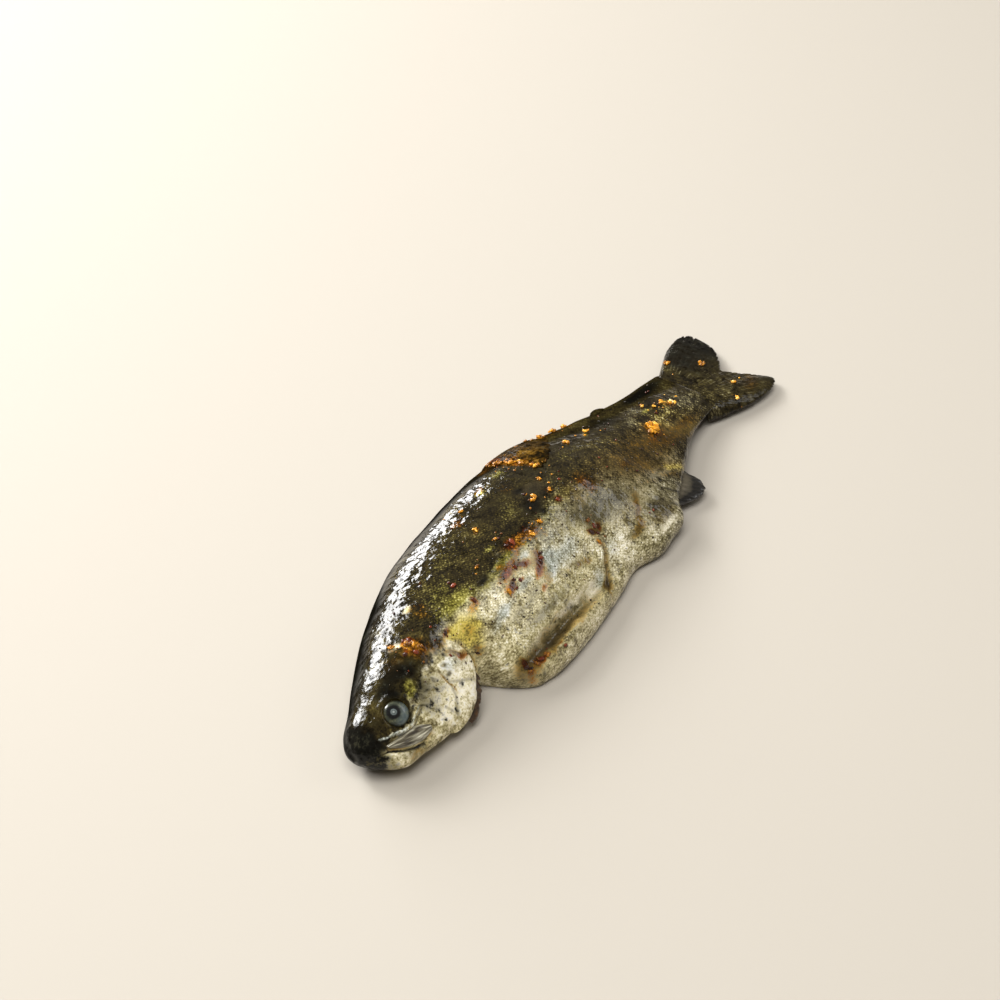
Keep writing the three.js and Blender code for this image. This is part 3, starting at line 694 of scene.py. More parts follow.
# ---------------------------------------------------------------- where the skin's colours lie
# Grated garlic, strewn in streaks: from and to, each along the fish and off its middle line, how far the
# grains stray, how many there are, their radius and their tone.
STREAKS = [
    ((217, -8), (217, -8), 0, 1, 3.4, 0.6), ((155, 33), (157, 12), 2, 9, 1.7, 0.38),
    ((169, 30), (198, 24), 3, 5, 1.8, 0.35), ((181, 11), (194, 10), 2, 2, 1.5, 0.5),
    ((150, 4), (122, -8), 9, 5, 1.5, 0.45), ((240, -1), (228, 4), 5, 4, 1.3, 0.65),
    ((41, 6), (47, -4), 3, 4, 1.3, 0.14), ((118, 17), (90, -12), 12, 5, 1.2, 0.3),
    ((147, -20), (143, -26), 2, 2, 1.3, 0.0), ((73, -36), (84, -38), 2, 3, 1.2, 0.0),
    ((279, 6), (279, 6), 0, 1, 1.9, 0.6), ((277, -12), (268, -19), 0, 2, 1.5, 0.6),
    ((270, 18), (270, 18), 0, 1, 1.3, 0.4),
]
LARGE_GRAIN = 3
GRAIN_CORNERS = (12, 42)    # of a small grain and a large one in the solid, which draws a number for each
STAIN_SHARE = 1.7
STAIN_STRENGTH = 0.62


def steady_random():
    """The small fixed sequence of random numbers that also lays out the solid's grains."""
    seed = 20
    while True:
        seed = seed * 16807 % (2 ** 31 - 1)
        yield seed / (2 ** 31 - 1)


def grain_places():
    """Every grain of the solid, in its order: place along and off the spine, radius, turn and tone."""
    draw = steady_random()
    for (a, b), (c, d), stray, count, radius, tone in STREAKS:
        for i in range(count):
            t = i / (count - 1) if count > 1 else 0.5
            size = radius * (mix(0.75, 1.2, next(draw)) if count > 1 else 1)
            along = mix(a, c, t) + stray * (next(draw) - 0.5)
            off = mix(b, d, t) + stray * (next(draw) - 0.5)
            for _ in range(GRAIN_CORNERS[size > LARGE_GRAIN]):
                next(draw)
            yield along, off, size, next(draw) * math.pi, tone


# The upper border of the pale belly and of the oil on the back, as places along the fish and off its middle.
PALE_TOP = [
    (6, -9), (12, -10), (20, -12.4), (26, -10.5), (31, -11), (38, -8.5), (48, -8), (54, -9), (60, -5),
    (68, -5), (75, -8), (80, -9.5), (90, -9.5), (96, -8), (104, -8), (110, -8.5), (118, -9), (126, -9.5),
    (135, -9.5), (145, -9), (155, -11), (165, -14), (180, -15), (195, -17), (210, -14), (225, -11),
    (261, -6),
]
OILED_TOP = [
    (0, 6), (15, 7), (25, 11), (35, 14), (45, 18), (60, 22), (75, 29), (90, 31), (135, 29), (150, 24),
    (170, 18), (200, 8), (230, 4), (261, 3),
]
# Patches: where along the fish and how far off its middle line, half sizes, turn in degrees and strength.
PATCHES = {
    "cream": [
        ((36, -17), (10, 6), 0, 0.7), ((84, -13.5), (10, 3), 0, 0.2), ((124, -23), (12, 4), -8, 0.55),
        ((54, -17), (6, 4), 15, 1.0), ((57, -13.5), (2.6, 5), 10, 0.9), ((48, -21), (9, 2.6), -6, 1.0),
        ((44, -16), (4, 5), 0, 0.5), ((98, -13), (6, 3), 0, 0.35), ((149, -32), (10, 5), 5, 0.75),
        # Painted highlight: the thin patch at (102, -32.3), along the upper edge of the fold in the belly
        # wall.
        ((125, -34.6), (7, 2.2), -8, 0.6), ((102, -32.3), (18, 0.5), -2, 1.0),
        ((100, -42.5), (26, 1.4), 0, 0.4), ((175, -40), (9, 1.8), 0, 0.8), ((197, -23), (9, 3), -12, 0.5),
        ((9, -16.5), (4, 1.6), -20, 0.6), ((59, 10.5), (2, 1.2), 10, 0.9), ((42, 5), (3.4, 1.1), -35, 0.95),
        ((33, -21), (6, 1.6), -8, 0.5), ((57, -9.5), (2.6, 0.9), 0, 0.6), ((69, -11), (3, 1.2), -45, 0.6),
        ((140, -25), (9, 2), 0, 0.4),
    ],
    "tan": [
        ((186, -14), (32, 11), -12, 0.55), ((222, -10), (26, 8), -8, 0.5), ((168, -27), (14, 9), 0, 0.5),
        ((240, -3), (14, 6), 0, 0.15), ((228, -15), (16, 3), -8, 0.6), ((178, -37), (10, 3), 0, 0.6),
        ((104, -40.6), (28, 1.6), -1, 0.35), ((150, -8), (12, 4), -5, 0.5), ((24, -19), (7, 2), -10, 0.5),
        ((11, -17.5), (5, 1.8), -25, 0.6), ((205, -24), (14, 2.5), -22, 0.6), ((133, -34), (10, 5), 0, 0.3),
    ],
    "frost": [
        ((146, -30), (9, 4), 10, 0.5), ((122, -21), (9, 4), -10, 0.6), ((55, -14), (4, 3), 0, 0.5),
        ((83, -18.5), (7, 1.8), 0, 0.85), ((108, -11.6), (4.2, 1.8), -8, 1.0),
        ((117, -17), (5, 2.6), -15, 0.85), ((113.5, -22), (4, 2.2), 20, 0.8), ((99, -18), (6, 1.6), 0, 0.8),
        ((131, -20), (7, 4), 0, 0.5), ((131, -34), (4, 2.4), 25, 0.7), ((48, -13), (4, 2.2), 0, 0.7),
        ((35, -12), (4, 2), 10, 0.4), ((13, -11.4), (5, 0.5), -36, 0.8), ((75, -20), (5, 2), 0, 0.4),
        ((125, -14), (6, 2), 0, 0.5),
    ],
    "grey": [
        ((165, -19), (20, 7), -10, 0.55), ((100, -28.6), (18, 2), -1, 0.8),
        ((90, -22.8), (14, 1.2), 0, 0.6), ((180, -33), (9, 4.5), 0, 0.9), ((155, -19), (8, 4), 0, 0.6),
        ((166, -22), (8, 4), 0, 0.5), ((212, 0), (5, 3.5), 40, 0.7), ((222, 5), (7, 4), -30, 0.5),
        ((248, -5), (9, 5), 0, 0.7), ((141, -14.5), (12, 4.5), 0, 0.6), ((148, -19), (5, 4), 0, 0.5),
        ((39, -14.5), (6, 4), 0, 0.55), ((29, -13.5), (4.5, 4), 0, 0.7), ((34.5, -10.8), (4, 2), 0, 0.7),
        ((32, -18.5), (4, 2), -20, 0.45), ((178, -12), (16, 5), 0, 0.35), ((45.5, -15), (1.4, 0.7), 0, 1.0),
        ((47, -12), (1, 0.8), 0, 0.9), ((126, -26), (7, 1.8), -15, 0.55), ((101, -21.5), (5, 1), 0, 0.5),
    ],
    "olive": [
        ((85, 12), (22, 8), 8, 0.2), ((92, -8.5), (16, 2.6), 0, 0.65), ((113, -9), (8, 2.2), 0, 0.5),
        ((129, -8.5), (9, 3), 0, 0.45), ((146, -7), (10, 4), 0, 0.4), ((72, -14), (5, 2), -30, 0.5),
        ((70, 3), (8, 4), 0, 0.35), ((172, 8), (20, 8), -10, 0.15), ((70, -4), (10, 3.2), -3, 1.0),
        ((101, -7.2), (5, 1.6), 0, 0.9), ((119, -19), (1.6, 1), 0, 0.8), ((102, 0), (3, 1.8), 0, 0.55),
        ((29.5, -7.6), (3.2, 2.4), 18, 1.0), ((146, 23), (4, 4), 20, 0.45),
        ((194, 10.5), (3.2, 1.2), 20, 0.9), ((226, 1), (4, 1.2), 0, 0.7), ((110, -28), (14, 2), 0, 0.35),
        ((66, -15), (3, 3), -40, 0.5), ((125, 5), (10, 5), 0, 0.2),
    ],
    "gold": [
        ((65, -10), (6, 3), -20, 1.0), ((66.5, -15), (4.4, 2.7), -50, 0.9),
        ((70.5, -14), (3.4, 1.5), -50, 0.8), ((61, -8.5), (3.4, 1.4), 0, 0.6), ((73, -11), (4, 2), 0, 0.35),
        ((131, 22), (2.4, 2), 0, 0.7), ((58, -9.5), (3, 1), -25, 0.6), ((238.5, -0.5), (3, 1.2), 15, 0.8),
        ((206, -24.5), (9, 2), -22, 0.45), ((230, -6), (24, 6), -6, 0.22),
        ((104, -12.6), (3, 0.9), -20, 0.8), ((117, -6.5), (6, 1.6), 0, 0.6),
    ],
    "brown": [
        ((190, -15), (20, 7), -12, 0.45), ((176, 30), (16, 5), -12, 0.6),
        ((45, -3.5), (4.6, 3.2), -30, 1.0), ((13, -3), (5, 5), 0, 0.2), ((42, 0), (2.6, 2.4), 0, 0.7),
        ((34, 2), (7, 3.5), 0, 0.5), ((59, 4), (3, 4), 0, 0.6), ((52, -7.5), (5, 1.6), -10, 0.7),
        ((55, -12.5), (4.6, 1.4), -28, 0.95), ((61, -15), (1.8, 4), 12, 0.7),
        ((66, -17.5), (3, 1.5), -40, 0.45), ((99, -10.8), (4.6, 1.1), 0, 0.9),
        ((115, -5.4), (8, 2.2), -6, 0.7), ((125, -11), (1.6, 3), 10, 0.6), ((112, 20), (3.6, 2.6), 20, 0.9),
        ((162, -9), (3.6, 5), 20, 0.95), ((170, -28.5), (7, 1.6), 40, 0.95),
        ((162, -33.5), (5, 1.6), 0, 0.7), ((132, -37), (4, 1.9), 32, 1.0), ((218, -15), (14, 4), -14, 0.55),
        ((236, -13), (12, 2.5), 0, 0.5), ((203, -27), (10, 1.6), -24, 0.5), ((200, -6), (12, 6), 0, 0.3),
        ((126.5, -26.5), (1.8, 1.1), 0, 0.9), ((131.5, -27.7), (2.8, 1.3), 0, 0.85),
        ((94, -15.3), (2.4, 0.8), 15, 0.8), ((83, 18), (3, 2), 0, 0.4),
        ((112, -16.8), (5.4, 2.4), 42, 0.85), ((98.5, -11.2), (6.5, 2), 0, 0.85),
        ((106, -13.5), (4, 2.2), -20, 0.75), ((108.5, -5), (4.4, 3.2), 0, 0.85),
        ((144, -22.6), (3, 2.3), 0, 0.8), ((149, -22.7), (3, 2.1), 0, 0.8),
        ((94, -15.6), (4, 1.7), 20, 0.7), ((110, -22.5), (4, 1.4), 30, 0.5),
        ((77, -34.5), (5, 3), -20, 0.35), ((88, -38.8), (4, 1.6), 0, 0.45), ((120, -25.6), (3, 1), 20, 0.4),
        # Painted shade: the next two long patches, in the fold along the belly wall.
        ((98, -35.4), (28, 2.6), -2, 0.75), ((100, -38.4), (28, 1.8), -2, 0.4),
        ((73, -32), (4, 1.8), -20, 0.6), ((18, -17.8), (4, 1.1), -25, 0.7), ((95, -31.8), (8, 0.6), 0, 0.4),
        ((8, -12.5), (4, 1.2), -48, 0.7), ((160, 20), (4, 8), 10, 0.85), ((172, 26), (14, 4), -12, 0.8),
        ((137, 14), (4, 4), 0, 0.5), ((150, -13), (6, 4), 0, 0.3), ((42.7, -15.5), (0.7, 4.5), 8, 0.7),
        ((60, 10), (3, 1.5), 0, 0.5), ((185, -13.5), (3, 1), 0, 0.6), ((14, -19.2), (6, 1), -14, 0.5),
    ],
    "slate_and_fold_shade": [
        # Painted shade: the first two patches, in the fold along the belly wall. The rest are the skin's own
        # blue-black.
        ((99, -34.6), (30, 2.8), -2, 0.66), ((84, -34.6), (14, 3), -4, 0.3), ((143, 4), (5, 3), 0, 0.8),
        ((140, 6), (6, 3), 0, 0.6), ((87, -6.4), (4.6, 1.8), 0, 0.6), ((180, -33), (7, 3.5), 0, 0.6),
    ],
    "paprika": [
        ((116, -6.4), (6.5, 2.2), -4, 0.9), ((99, -11.3), (4.5, 1.2), 0, 0.6), ((95, -12), (5, 2), 0, 0.35),
        ((118, -13), (3, 1), 30, 0.4), ((75, -10), (4, 1.4), 0, 0.5), ((157, 24), (3, 9), 8, 0.85),
        ((172, 29), (10, 3), -12, 0.8), ((45, -2), (3.6, 4), -20, 0.42), ((110, 20), (3.2, 2.6), 0, 0.8),
        ((122, -8.6), (3.4, 1.3), 0, 0.8), ((101, -10), (4.5, 1.1), 0, 0.75),
        ((67, -12.5), (3.6, 2.4), -30, 0.35), ((160, -9), (2.6, 4.5), 20, 0.8),
        ((147, 31), (5, 3), -10, 0.8), ((97, -8), (2.5, 1), 0, 0.6), ((109, -8.5), (3, 1), 10, 0.7),
        ((133, 24), (3, 1.6), 10, 0.7), ((62, 7), (2, 3), 0, 0.5), ((186, -24), (9, 1.6), -10, 0.25),
        ((215, -12), (9, 3), -10, 0.25),
    ],
    "rust": [
        ((77, -8.5), (1.5, 1.2), 0, 1.0), ((77.5, 1.4), (1.7, 1.7), 0, 0.9),
        ((108.5, -5), (2.4, 2), 0, 1.0), ((97, -11), (3.2, 1.2), 0, 0.7),
        ((106, -13.5), (2.6, 1.4), -20, 0.95), ((94, -15.7), (2.6, 0.9), 22, 0.95),
        ((100, -16.3), (1.3, 0.8), 0, 0.9), ((112.8, -16.8), (4.4, 1.5), 42, 1.0),
        ((108, -19), (2.6, 1.3), 20, 0.8), ((105, -23.6), (2.2, 0.8), 10, 0.6),
        ((144, -22.6), (1.8, 1.4), 0, 1.0), ((149, -22.7), (1.7, 1.2), 0, 1.0),
        ((143.5, -7), (1.7, 1.4), 0, 0.9), ((74, -33), (1.7, 1.5), 0, 0.95),
        ((80, -36.3), (2.4, 1.6), -30, 1.0), ((72.5, 14), (2, 1.4), 0, 0.55),
        ((46, 2.2), (1.4, 2), 30, 0.9), ((41, 0.5), (1.6, 1), 0, 0.5), ((58.5, -7), (2.6, 1.1), 0, 0.8),
        ((56, -14.2), (2.6, 1.2), -15, 0.75), ((65.5, -16.7), (1.6, 1.1), -30, 0.4),
        ((120, -5), (2.4, 1.8), 0, 0.6), ((152, 28), (4, 1.3), 40, 0.6), ((91, -38.5), (2, 1), 0, 0.4),
        ((157, 20), (3, 4), 30, 0.4),
    ],
    "black": [
        ((11, -2), (5, 6), 0, 0.5), ((27.5, -13.5), (2.4, 0.55), -40, 0.8),
        ((35, -9.5), (2.2, 0.8), 0, 0.7), ((41, -10), (2.4, 0.5), -30, 0.7),
        ((44.5, -9), (1.1, 0.9), 0, 0.9), ((29.5, -16.5), (1.8, 0.45), -60, 0.7),
        ((24.5, -4), (1.6, 3), 30, 0.8), ((39.5, -12.5), (1.5, 0.5), -50, 0.6),
        ((34, -12.5), (1.8, 0.45), -20, 0.6), ((125, 12), (14, 8), 0, 0.25), ((240, 8), (24, 8), -4, 0.35),
        ((200, 14), (20, 6), -12, 0.3), ((87, -6.4), (4.6, 1.8), 0, 0.95), ((133, -1), (7, 4.5), 15, 1.0),
        ((138, 8.4), (3.4, 1.8), 0, 0.9), ((143, 4), (5, 3), 0, 0.6), ((155, 13), (12, 7), 0, 0.6),
        ((182, 12), (14, 6), -12, 0.6), ((207, 8), (8, 5), -20, 0.6), ((236, 11.5), (11, 3), -4, 1.0),
        # Painted shade: the patches at (196, -32.5) and (186, -36.3), along the belly's lower edge before the
        # vent fin.
        ((250, 14), (12, 3), 0, 0.7), ((196, -32.5), (12, 1.1), -28, 1.0),
        ((186, -36.3), (4, 1.2), -22, 0.8), ((35, -4), (4.6, 3), -20, 0.9), ((30, 0.5), (9, 4), 10, 0.75),
        # Painted dark reflection and shade along the back above the oil's highlight: the patches at (60, 24)
        # and (30, 14).
        ((22.5, 1), (4, 4), 0, 0.45), ((60, 24), (16, 3), 22, 0.9), ((30, 14), (20, 2.6), 24, 0.9),
        # Painted shade: the patches at (92, -34.8) and (112, -33.2) in the fold along the belly wall, and at
        # (23.3, -11.8) in the pit behind the eye.
        ((92, -34.8), (18, 1.2), -3, 0.45), ((23.3, -11.8), (2.7, 0.7), 12, 1.0),
        ((112, -33.2), (6, 0.6), -8, 0.8), ((83, 8.6), (1.5, 1), 0, 0.8), ((102, -4.8), (2, 1.2), 0, 0.6),
        ((33, -10.2), (1.3, 0.9), 0, 1.0), ((37, -14.6), (1.3, 1), 0, 0.75),
        ((32, -15.6), (1.6, 1.1), 0, 0.8), ((36, -16), (9, 6), 0, 0.3), ((31.3, -19.2), (0.9, 0.7), 0, 0.9),
        ((31, -21.6), (1, 0.7), 0, 0.9), ((37.6, -22.8), (1, 0.7), 0, 0.9),
        ((50, -10.5), (1.4, 0.8), -15, 0.9), ((46.6, -19.1), (1.4, 0.7), 10, 0.8),
        ((52.2, -17), (1, 0.5), 0, 0.6), ((48, -8.6), (0.9, 0.9), 0, 0.7),
        ((78, -22.6), (0.9, 0.7), 0, 0.9), ((81, -25), (0.9, 0.7), 0, 0.8),
        ((70.4, -23.4), (0.8, 0.6), 0, 0.9), ((66, -22), (1.1, 0.7), -20, 0.7),
        ((95, -23), (0.9, 0.7), 0, 0.9), ((78.6, -30.5), (0.8, 0.5), 0, 0.8),
        ((82.6, -30.8), (1.2, 0.5), 0, 0.7), ((92.5, -11), (0.9, 0.7), 0, 0.8),
        ((92, -41), (1.6, 0.8), -20, 0.9), ((78, -39.2), (1.4, 0.8), -20, 0.8),
        ((87.5, -11.2), (1.2, 0.7), 0, 0.5), ((109, -31.4), (2.6, 0.7), 0, 0.8),
        ((130.5, -11.5), (0.8, 0.8), 0, 0.7), ((22.7, -18.3), (1.1, 0.8), -40, 0.8),
        ((207.5, -13.8), (0.9, 0.8), 0, 0.7), ((133, -6.5), (1.6, 1.6), 0, 0.8),
        # Painted dark reflection and shade along the back: the patches at (130, 27) and (104, 25).
        ((130, 27), (10, 3), 20, 0.5), ((104, 25), (10, 3), 20, 0.7), ((5, -9.5), (2.6, 1.4), -50, 0.9),
        ((118, 14), (14, 4), 0, 0.3), ((132.5, -37), (2.8, 0.9), 45, 0.9),
    ],
}
# Orange oil stains the skin round each grain.
PATCHES["paprika"] += [
    ((along, off), (STAIN_SHARE * size, 0.8 * STAIN_SHARE * size), math.degrees(turn), STAIN_STRENGTH)
    for along, off, size, turn, _ in grain_places()
]


# By place along the fish: the width over which the pale belly fades at its border, and how pale it is.
PALE_FADE = [(0, 1.5), (45, 2), (60, 6), (90, 7), (120, 8), (150, 12), (200, 16), (261, 14)]
PALE_STRENGTH = [
    (0, 0.8), (50, 0.95), (135, 0.9), (155, 0.7), (185, 0.5), (215, 0.24), (255, 0.15), (270, 0),
]
# Where the black of the snout ends, by place off the middle line.
SNOUT_END = [(-14, 3.5), (-8, 5.5), (-3, 8), (8, 9.5)]
# Where along the fish the scales set in and run out, and where the strokes that run across it set in.
SCALES_START = (46, 56)
SCALES_END = (258, 270)
DRAWN_START = (158, 190)


def painted(along, off, patches):
    """The patches' strengths together, their outlines pushed about a little."""
    along = along + 0.7 * ripple(along, off, 5, 11) + 0.25 * ripple(along, off, 1.7, 12)
    off = off + 0.6 * ripple(along, off, 5, 13) + 0.25 * ripple(along, off, 1.7, 14)
    total = sum(share * patch(along, off, centre, radii, turn) for centre, radii, turn, share in patches)
    return np.clip(total, 0, 1)


def tail_fin_dark(along, off):
    """How black the tail fin is: most on its upper lobe and at its edge."""
    return smooth(262, 274, along) * mix(0.35, 0.85, smooth(-6, 14, off)) + 0.5 * smooth(286, 296, along)


def skin_marks_at(along, off, rise):
    """The colour fields of the skin, each 0 to 1."""
    upper = smooth(-0.35, 0.1, rise - 0.3 * smooth(0, 6, off))
    marks = {name: painted(along, off, patches) * upper for name, patches in PATCHES.items()}
    border = curve_value(along, PALE_TOP) + 1.8 * ripple(along, off, 8, 8) + 0.9 * ripple(along, off, 3, 15)
    below_border = (border - off) / curve_value(along, PALE_FADE)
    marks["pale"] = smooth(-1, 1, below_border) * curve_value(along, PALE_STRENGTH)
    past_snout = along - curve_value(off, SNOUT_END) + 1.4 * ripple(along, off, 4, 7)
    snout = 1 - smooth(-2.4, 3.2, past_snout)
    lower_lip = smooth(-12.5, -16, off) * smooth(3, 9, along)
    mouth = near_line(along, off, MOUTH_LINE, MOUTH_WIDTH)
    past_top = off - curve_value(along, OILED_TOP)
    # The back's ridge is painted black, as shade and dark reflection, less so towards the tail, and in
    # clouds where it turns under.
    ridge = smooth(-1, 3, past_top) * mix(1, 0.3, smooth(115, 185, along))
    ridge = ridge * mix(0.72 + 0.25 * ripple(along, off + 30 * rise, 12, 16), 1, smooth(0, 0.4, rise))
    # Painted shade in the groove just under the cheek ridge.
    painted_shade_under_ridge = 0.8 * near_line(along, off + 1.3, CHEEK_RIDGE, 0.5)
    streak = near_line(along, off, CHEEK_RIDGE, 0.45) * (0.75 + 0.4 * ripple(along, off, 3, 9))
    marks["frost"] = np.maximum(marks["frost"], np.clip(streak, 0, 1))
    snout = snout * (1 - lower_lip)
    dark = [marks["black"], snout, mouth, painted_shade_under_ridge, ridge, tail_fin_dark(along, off)]
    marks["brown"] = np.maximum(marks["brown"], 0.7 * near_line(along, off, WRINKLE, 1.3))
    marks["black"] = np.maximum(np.max(dark, axis=0) * mix(0.6, 1, upper), snout)
    marks["scaled"] = smooth(*SCALES_START, along) * (1 - smooth(*SCALES_END, along))
    marks["drawn"] = smooth(*DRAWN_START, along)
    # Oil covers the flank up to the back's ridge. On the head it lies thick on the brow alone.
    on_brow = smooth(0.5, 4.5, off)
    marks["oiled"] = (1 - smooth(0, 4, past_top)) * mix(mix(0.55, 1, on_brow), 1, smooth(40, 50, along))
    return marks


# ---------------------------------------------------------------- the body
BODY_COLUMNS = 418
BODY_ROWS = 226
LOWER_ROWS = 0.32      # the share of the rows that lies on the unseen lower side
TAIL_CAP = 0.985
TAIL_THINS = 0.9
TAIL_THIN_SHARE = 0.42
TAIL_NARROW_SHARE = 0.9
MAP_STATIONS = 80
MAP_STEPS = 160


def body_place(u, v):
    """Place along the body, denser at the head; angle round it, denser on the upper flank; and how far that
    is off the spine."""
    t = np.clip(u * (BODY_COLUMNS + 1) / BODY_COLUMNS, 0, 1)
    at = 0.5 * t + 0.5 * t * t
    half = LOWER_ROWS / 2
    angle = np.interp(v, (0, half, 1 - half, 1), (-math.pi / 2, 0, math.pi, 1.5 * math.pi))
    return at, angle, np.cos(angle) * reach_off(at, np.cos(angle))


def body_point(u, v):
    """The skin with its relief, thinned and closed at the tail."""
    at, angle, off = body_place(u, v)
    tip = np.clip(at / SNOUT_ROUND, 0, 1)
    lift = skin_relief(at * BODY_LENGTH, off, np.sin(angle)) * tip
    point = skin(at, angle) + normal_of(at, angle) * lift[..., None]
    # The flesh thins over the tail fin's root and ends rounded.
    thinning = smooth(TAIL_THINS, 1, at)
    past = np.clip((at - TAIL_CAP) / (1 - TAIL_CAP), 0, 1)
    rounded = np.sqrt(1 - past ** 2)
    keep = mix(1, TAIL_THIN_SHARE, thinning) * rounded
    axis = beside_spine(at, off * mix(TAIL_NARROW_SHARE, 1, rounded), section("mid", at))
    axis[..., :2] = mix(point[..., :2], axis[..., :2], past[..., None])
    point = mix(axis, point, keep[..., None])
    point[..., 2] = np.maximum(0, point[..., 2])
    return point


def body_marks(u, v):
    """The skin's colour fields at each point of the body's grid."""
    at, angle, off = body_place(u, v)
    return skin_marks_at(at * BODY_LENGTH, off, np.sin(angle))


def body_map(u, v):
    """Surface coordinates: along the body, and the way round the section from the top of the flank."""
    at, angle, _ = body_place(u, v)
    steps = np.linspace(-math.pi / 2, 1.5 * math.pi, MAP_STEPS + 1)
    stations = np.linspace(0, 1, MAP_STATIONS + 1)
    rings = skin(stations[:, None], steps[None, :])
    lengths = np.linalg.norm(np.diff(rings, axis=1), axis=2)
    girth = np.concatenate([np.zeros((len(stations), 1)), np.cumsum(lengths, axis=1)], axis=1)
    girth = girth - girth[:, MAP_STEPS // 2, None]
    i = np.clip(at * MAP_STATIONS, 0, MAP_STATIONS - 0.001)
    j = np.clip((angle + math.pi / 2) / math.tau * MAP_STEPS, 0, MAP_STEPS - 0.001)
    i0, j0 = i.astype(int), j.astype(int)
    low = mix(girth[i0, j0], girth[i0, j0 + 1], j - j0)
    high = mix(girth[i0 + 1, j0], girth[i0 + 1, j0 + 1], j - j0)
    return at * BODY_LENGTH, mix(low, high, i - i0)


SKIN = trout_skin_material()
shaped_grid("trout_skin", BODY_COLUMNS, BODY_ROWS, body_point, SKIN, body_marks, body_map)


# ---------------------------------------------------------------- thin parts with two faces
def spline(points, t):
    """A smooth curve through points, at places 0 to 1."""
    points = np.array(points, float)
    last = len(points) - 1
    place = np.clip(t, 0, 1) * last
    i = np.minimum(place.astype(int), last - 1)
    w = (place - i)[..., None]
    before, start = points[np.maximum(i - 1, 0)], points[i]
    end, after = points[i + 1], points[np.minimum(i + 2, last)]
    bend_in, bend_out = (end - before) / 2, (after - start) / 2
    cubic = (2 * start - 2 * end + bend_in + bend_out) * w ** 3
    return cubic + (-3 * start + 3 * end - 2 * bend_in - bend_out) * w ** 2 + bend_in * w + start


def rounded_edge(t, share):
    """0 at an edge, rising over a share of the width on a quarter circle."""
    return np.sqrt(1 - (1 - np.clip(t / share, 0, 1)) ** 2)


def two_faced(name, columns, rows, face_point, material, edges, marks=None, map_mm=None):
    """A plate whose two faces meet all round: face_point takes u, v and how far out the face stands, -1 to 1.
    edges are the shares of the length and the width over which the rims round off."""
    def unfold(u, v):
        """The upper face runs out to the edge over half of u, and the lower one back over the rest."""
        out = 1 - np.abs(2 * u - 1)
        rim = rounded_edge(np.minimum(out, 1 - out), edges[0]) * rounded_edge(np.minimum(v, 1 - v), edges[1])
        return out, v, np.where(u < 0.5, 1, -1) * rim

    shaped_grid(
        name, columns * 2, rows, lambda u, v: face_point(*unfold(u, v)), material,
        marks=(lambda u, v: marks(*unfold(u, v)[:2])) if marks else None,
        map_mm=(lambda u, v: map_mm(*unfold(u, v)[:2])) if map_mm else None,
    )


# ---------------------------------------------------------------- gill cover and gill skirt
COVER_THICKNESS = 1.3
COVER_MAP_RADIUS = 20
SEAM_WIDTH = 0.45
SEAM_DEPTH = 0.28
SEAM_SHADE_WIDTH = 0.9
SEAM_SHADE = 0.6
COVER_SEAMS = [
    [(40, -9), (43, -12), (43.6, -16), (41.5, -20.5), (37, -23.5)],
    [(43.4, -16.5), (48, -19), (54, -20.5)],
    [(30, -15), (34, -18.5), (36, -22)],
]


def cover_place(u, v):
    """Place along the body and angle round it, then the same as millimetres along and off the spine."""
    angle = mix(*COVER_ANGLES, v)
    at = mix(COVER_FRONT, cover_rear(angle), u)
    return at, angle, at * BODY_LENGTH, np.cos(angle) * section("belly", at)


def cover_point(u, v, face):
    """The gill cover's two faces, uneven, with its seams sunk in and its rims left plain."""
    at, angle, along, off = cover_place(u, v)
    shown = smooth(0.1, 0.5, u) * smooth(0.05, 0.3, v) * smooth(1.0, 0.85, v) * smooth(1, 0.96, u)
    seams = sum(near_line(along, off, line, SEAM_WIDTH) for line in COVER_SEAMS)
    relief = 0.25 * ripple(along, off, 9, 21) + 0.12 * ripple(along, off, 4, 22) - SEAM_DEPTH * seams
    return lifted(at, angle, cover_rise(u, v) - COVER_THICKNESS / 2 * (1 - face) + relief * shown)


def cover_marks(u, v):
    """The skin's colours on the cover, greyer along its seams."""
    _, angle, along, off = cover_place(u, v)
    marks = skin_marks_at(along, off, np.sin(angle))
    for line in COVER_SEAMS:
        marks["grey"] = np.maximum(marks["grey"], SEAM_SHADE * near_line(along, off, line, SEAM_SHADE_WIDTH))
    return marks


def cover_map(u, v):
    """Surface coordinates: along the fish, and the way round it on an even radius."""
    _, angle, along, _ = cover_place(u, v)
    return along, (math.pi / 2 - angle) * COVER_MAP_RADIUS


two_faced("gill_cover", 110, 110, cover_point, SKIN, (0.05, 0.05), cover_marks, cover_map)

SKIRT_ANGLES = (2.5, 3.22)
SKIRT_WIDTH = 4.4
SKIRT_TUCK = 0.006      # how far its root lies under the cover's edge, as a share of the body
SKIRT_REACH = 0.8       # how far its width hangs out to the side, along and down, as shares
SKIRT_TRAIL = 0.35
SKIRT_DROOP = 0.75
SKIRT_RADIUS = 24
SKIRT_FLOOR = 0.35
SKIRT_HALF_THICKNESS = 0.3


def skirt_point(u, v, face):
    """The gill's skin skirt, a limp ragged strip that shows past the cover's lower edge."""
    angle = mix(*SKIRT_ANGLES, v)
    around = angle * SKIRT_RADIUS
    frayed = 1 + 0.18 * ripple(around, 0, 5, 31) + 0.1 * ripple(around, 0, 2, 32)
    width = SKIRT_WIDTH * u * frayed * smooth(0, 0.25, v)
    at = cover_rear(angle) - SKIRT_TUCK + SKIRT_TRAIL * width / BODY_LENGTH
    point = lifted(at, angle, np.full(np.shape(at), 0.1))
    sway = 0.5 * u * ripple(around, u * 4, 7, 33)
    point[..., 1] -= SKIRT_REACH * width * np.cos(heading(at))
    height = np.maximum(SKIRT_FLOOR, point[..., 2] - SKIRT_DROOP * width + sway)
    point[..., 2] = height + SKIRT_HALF_THICKNESS * face
    return point


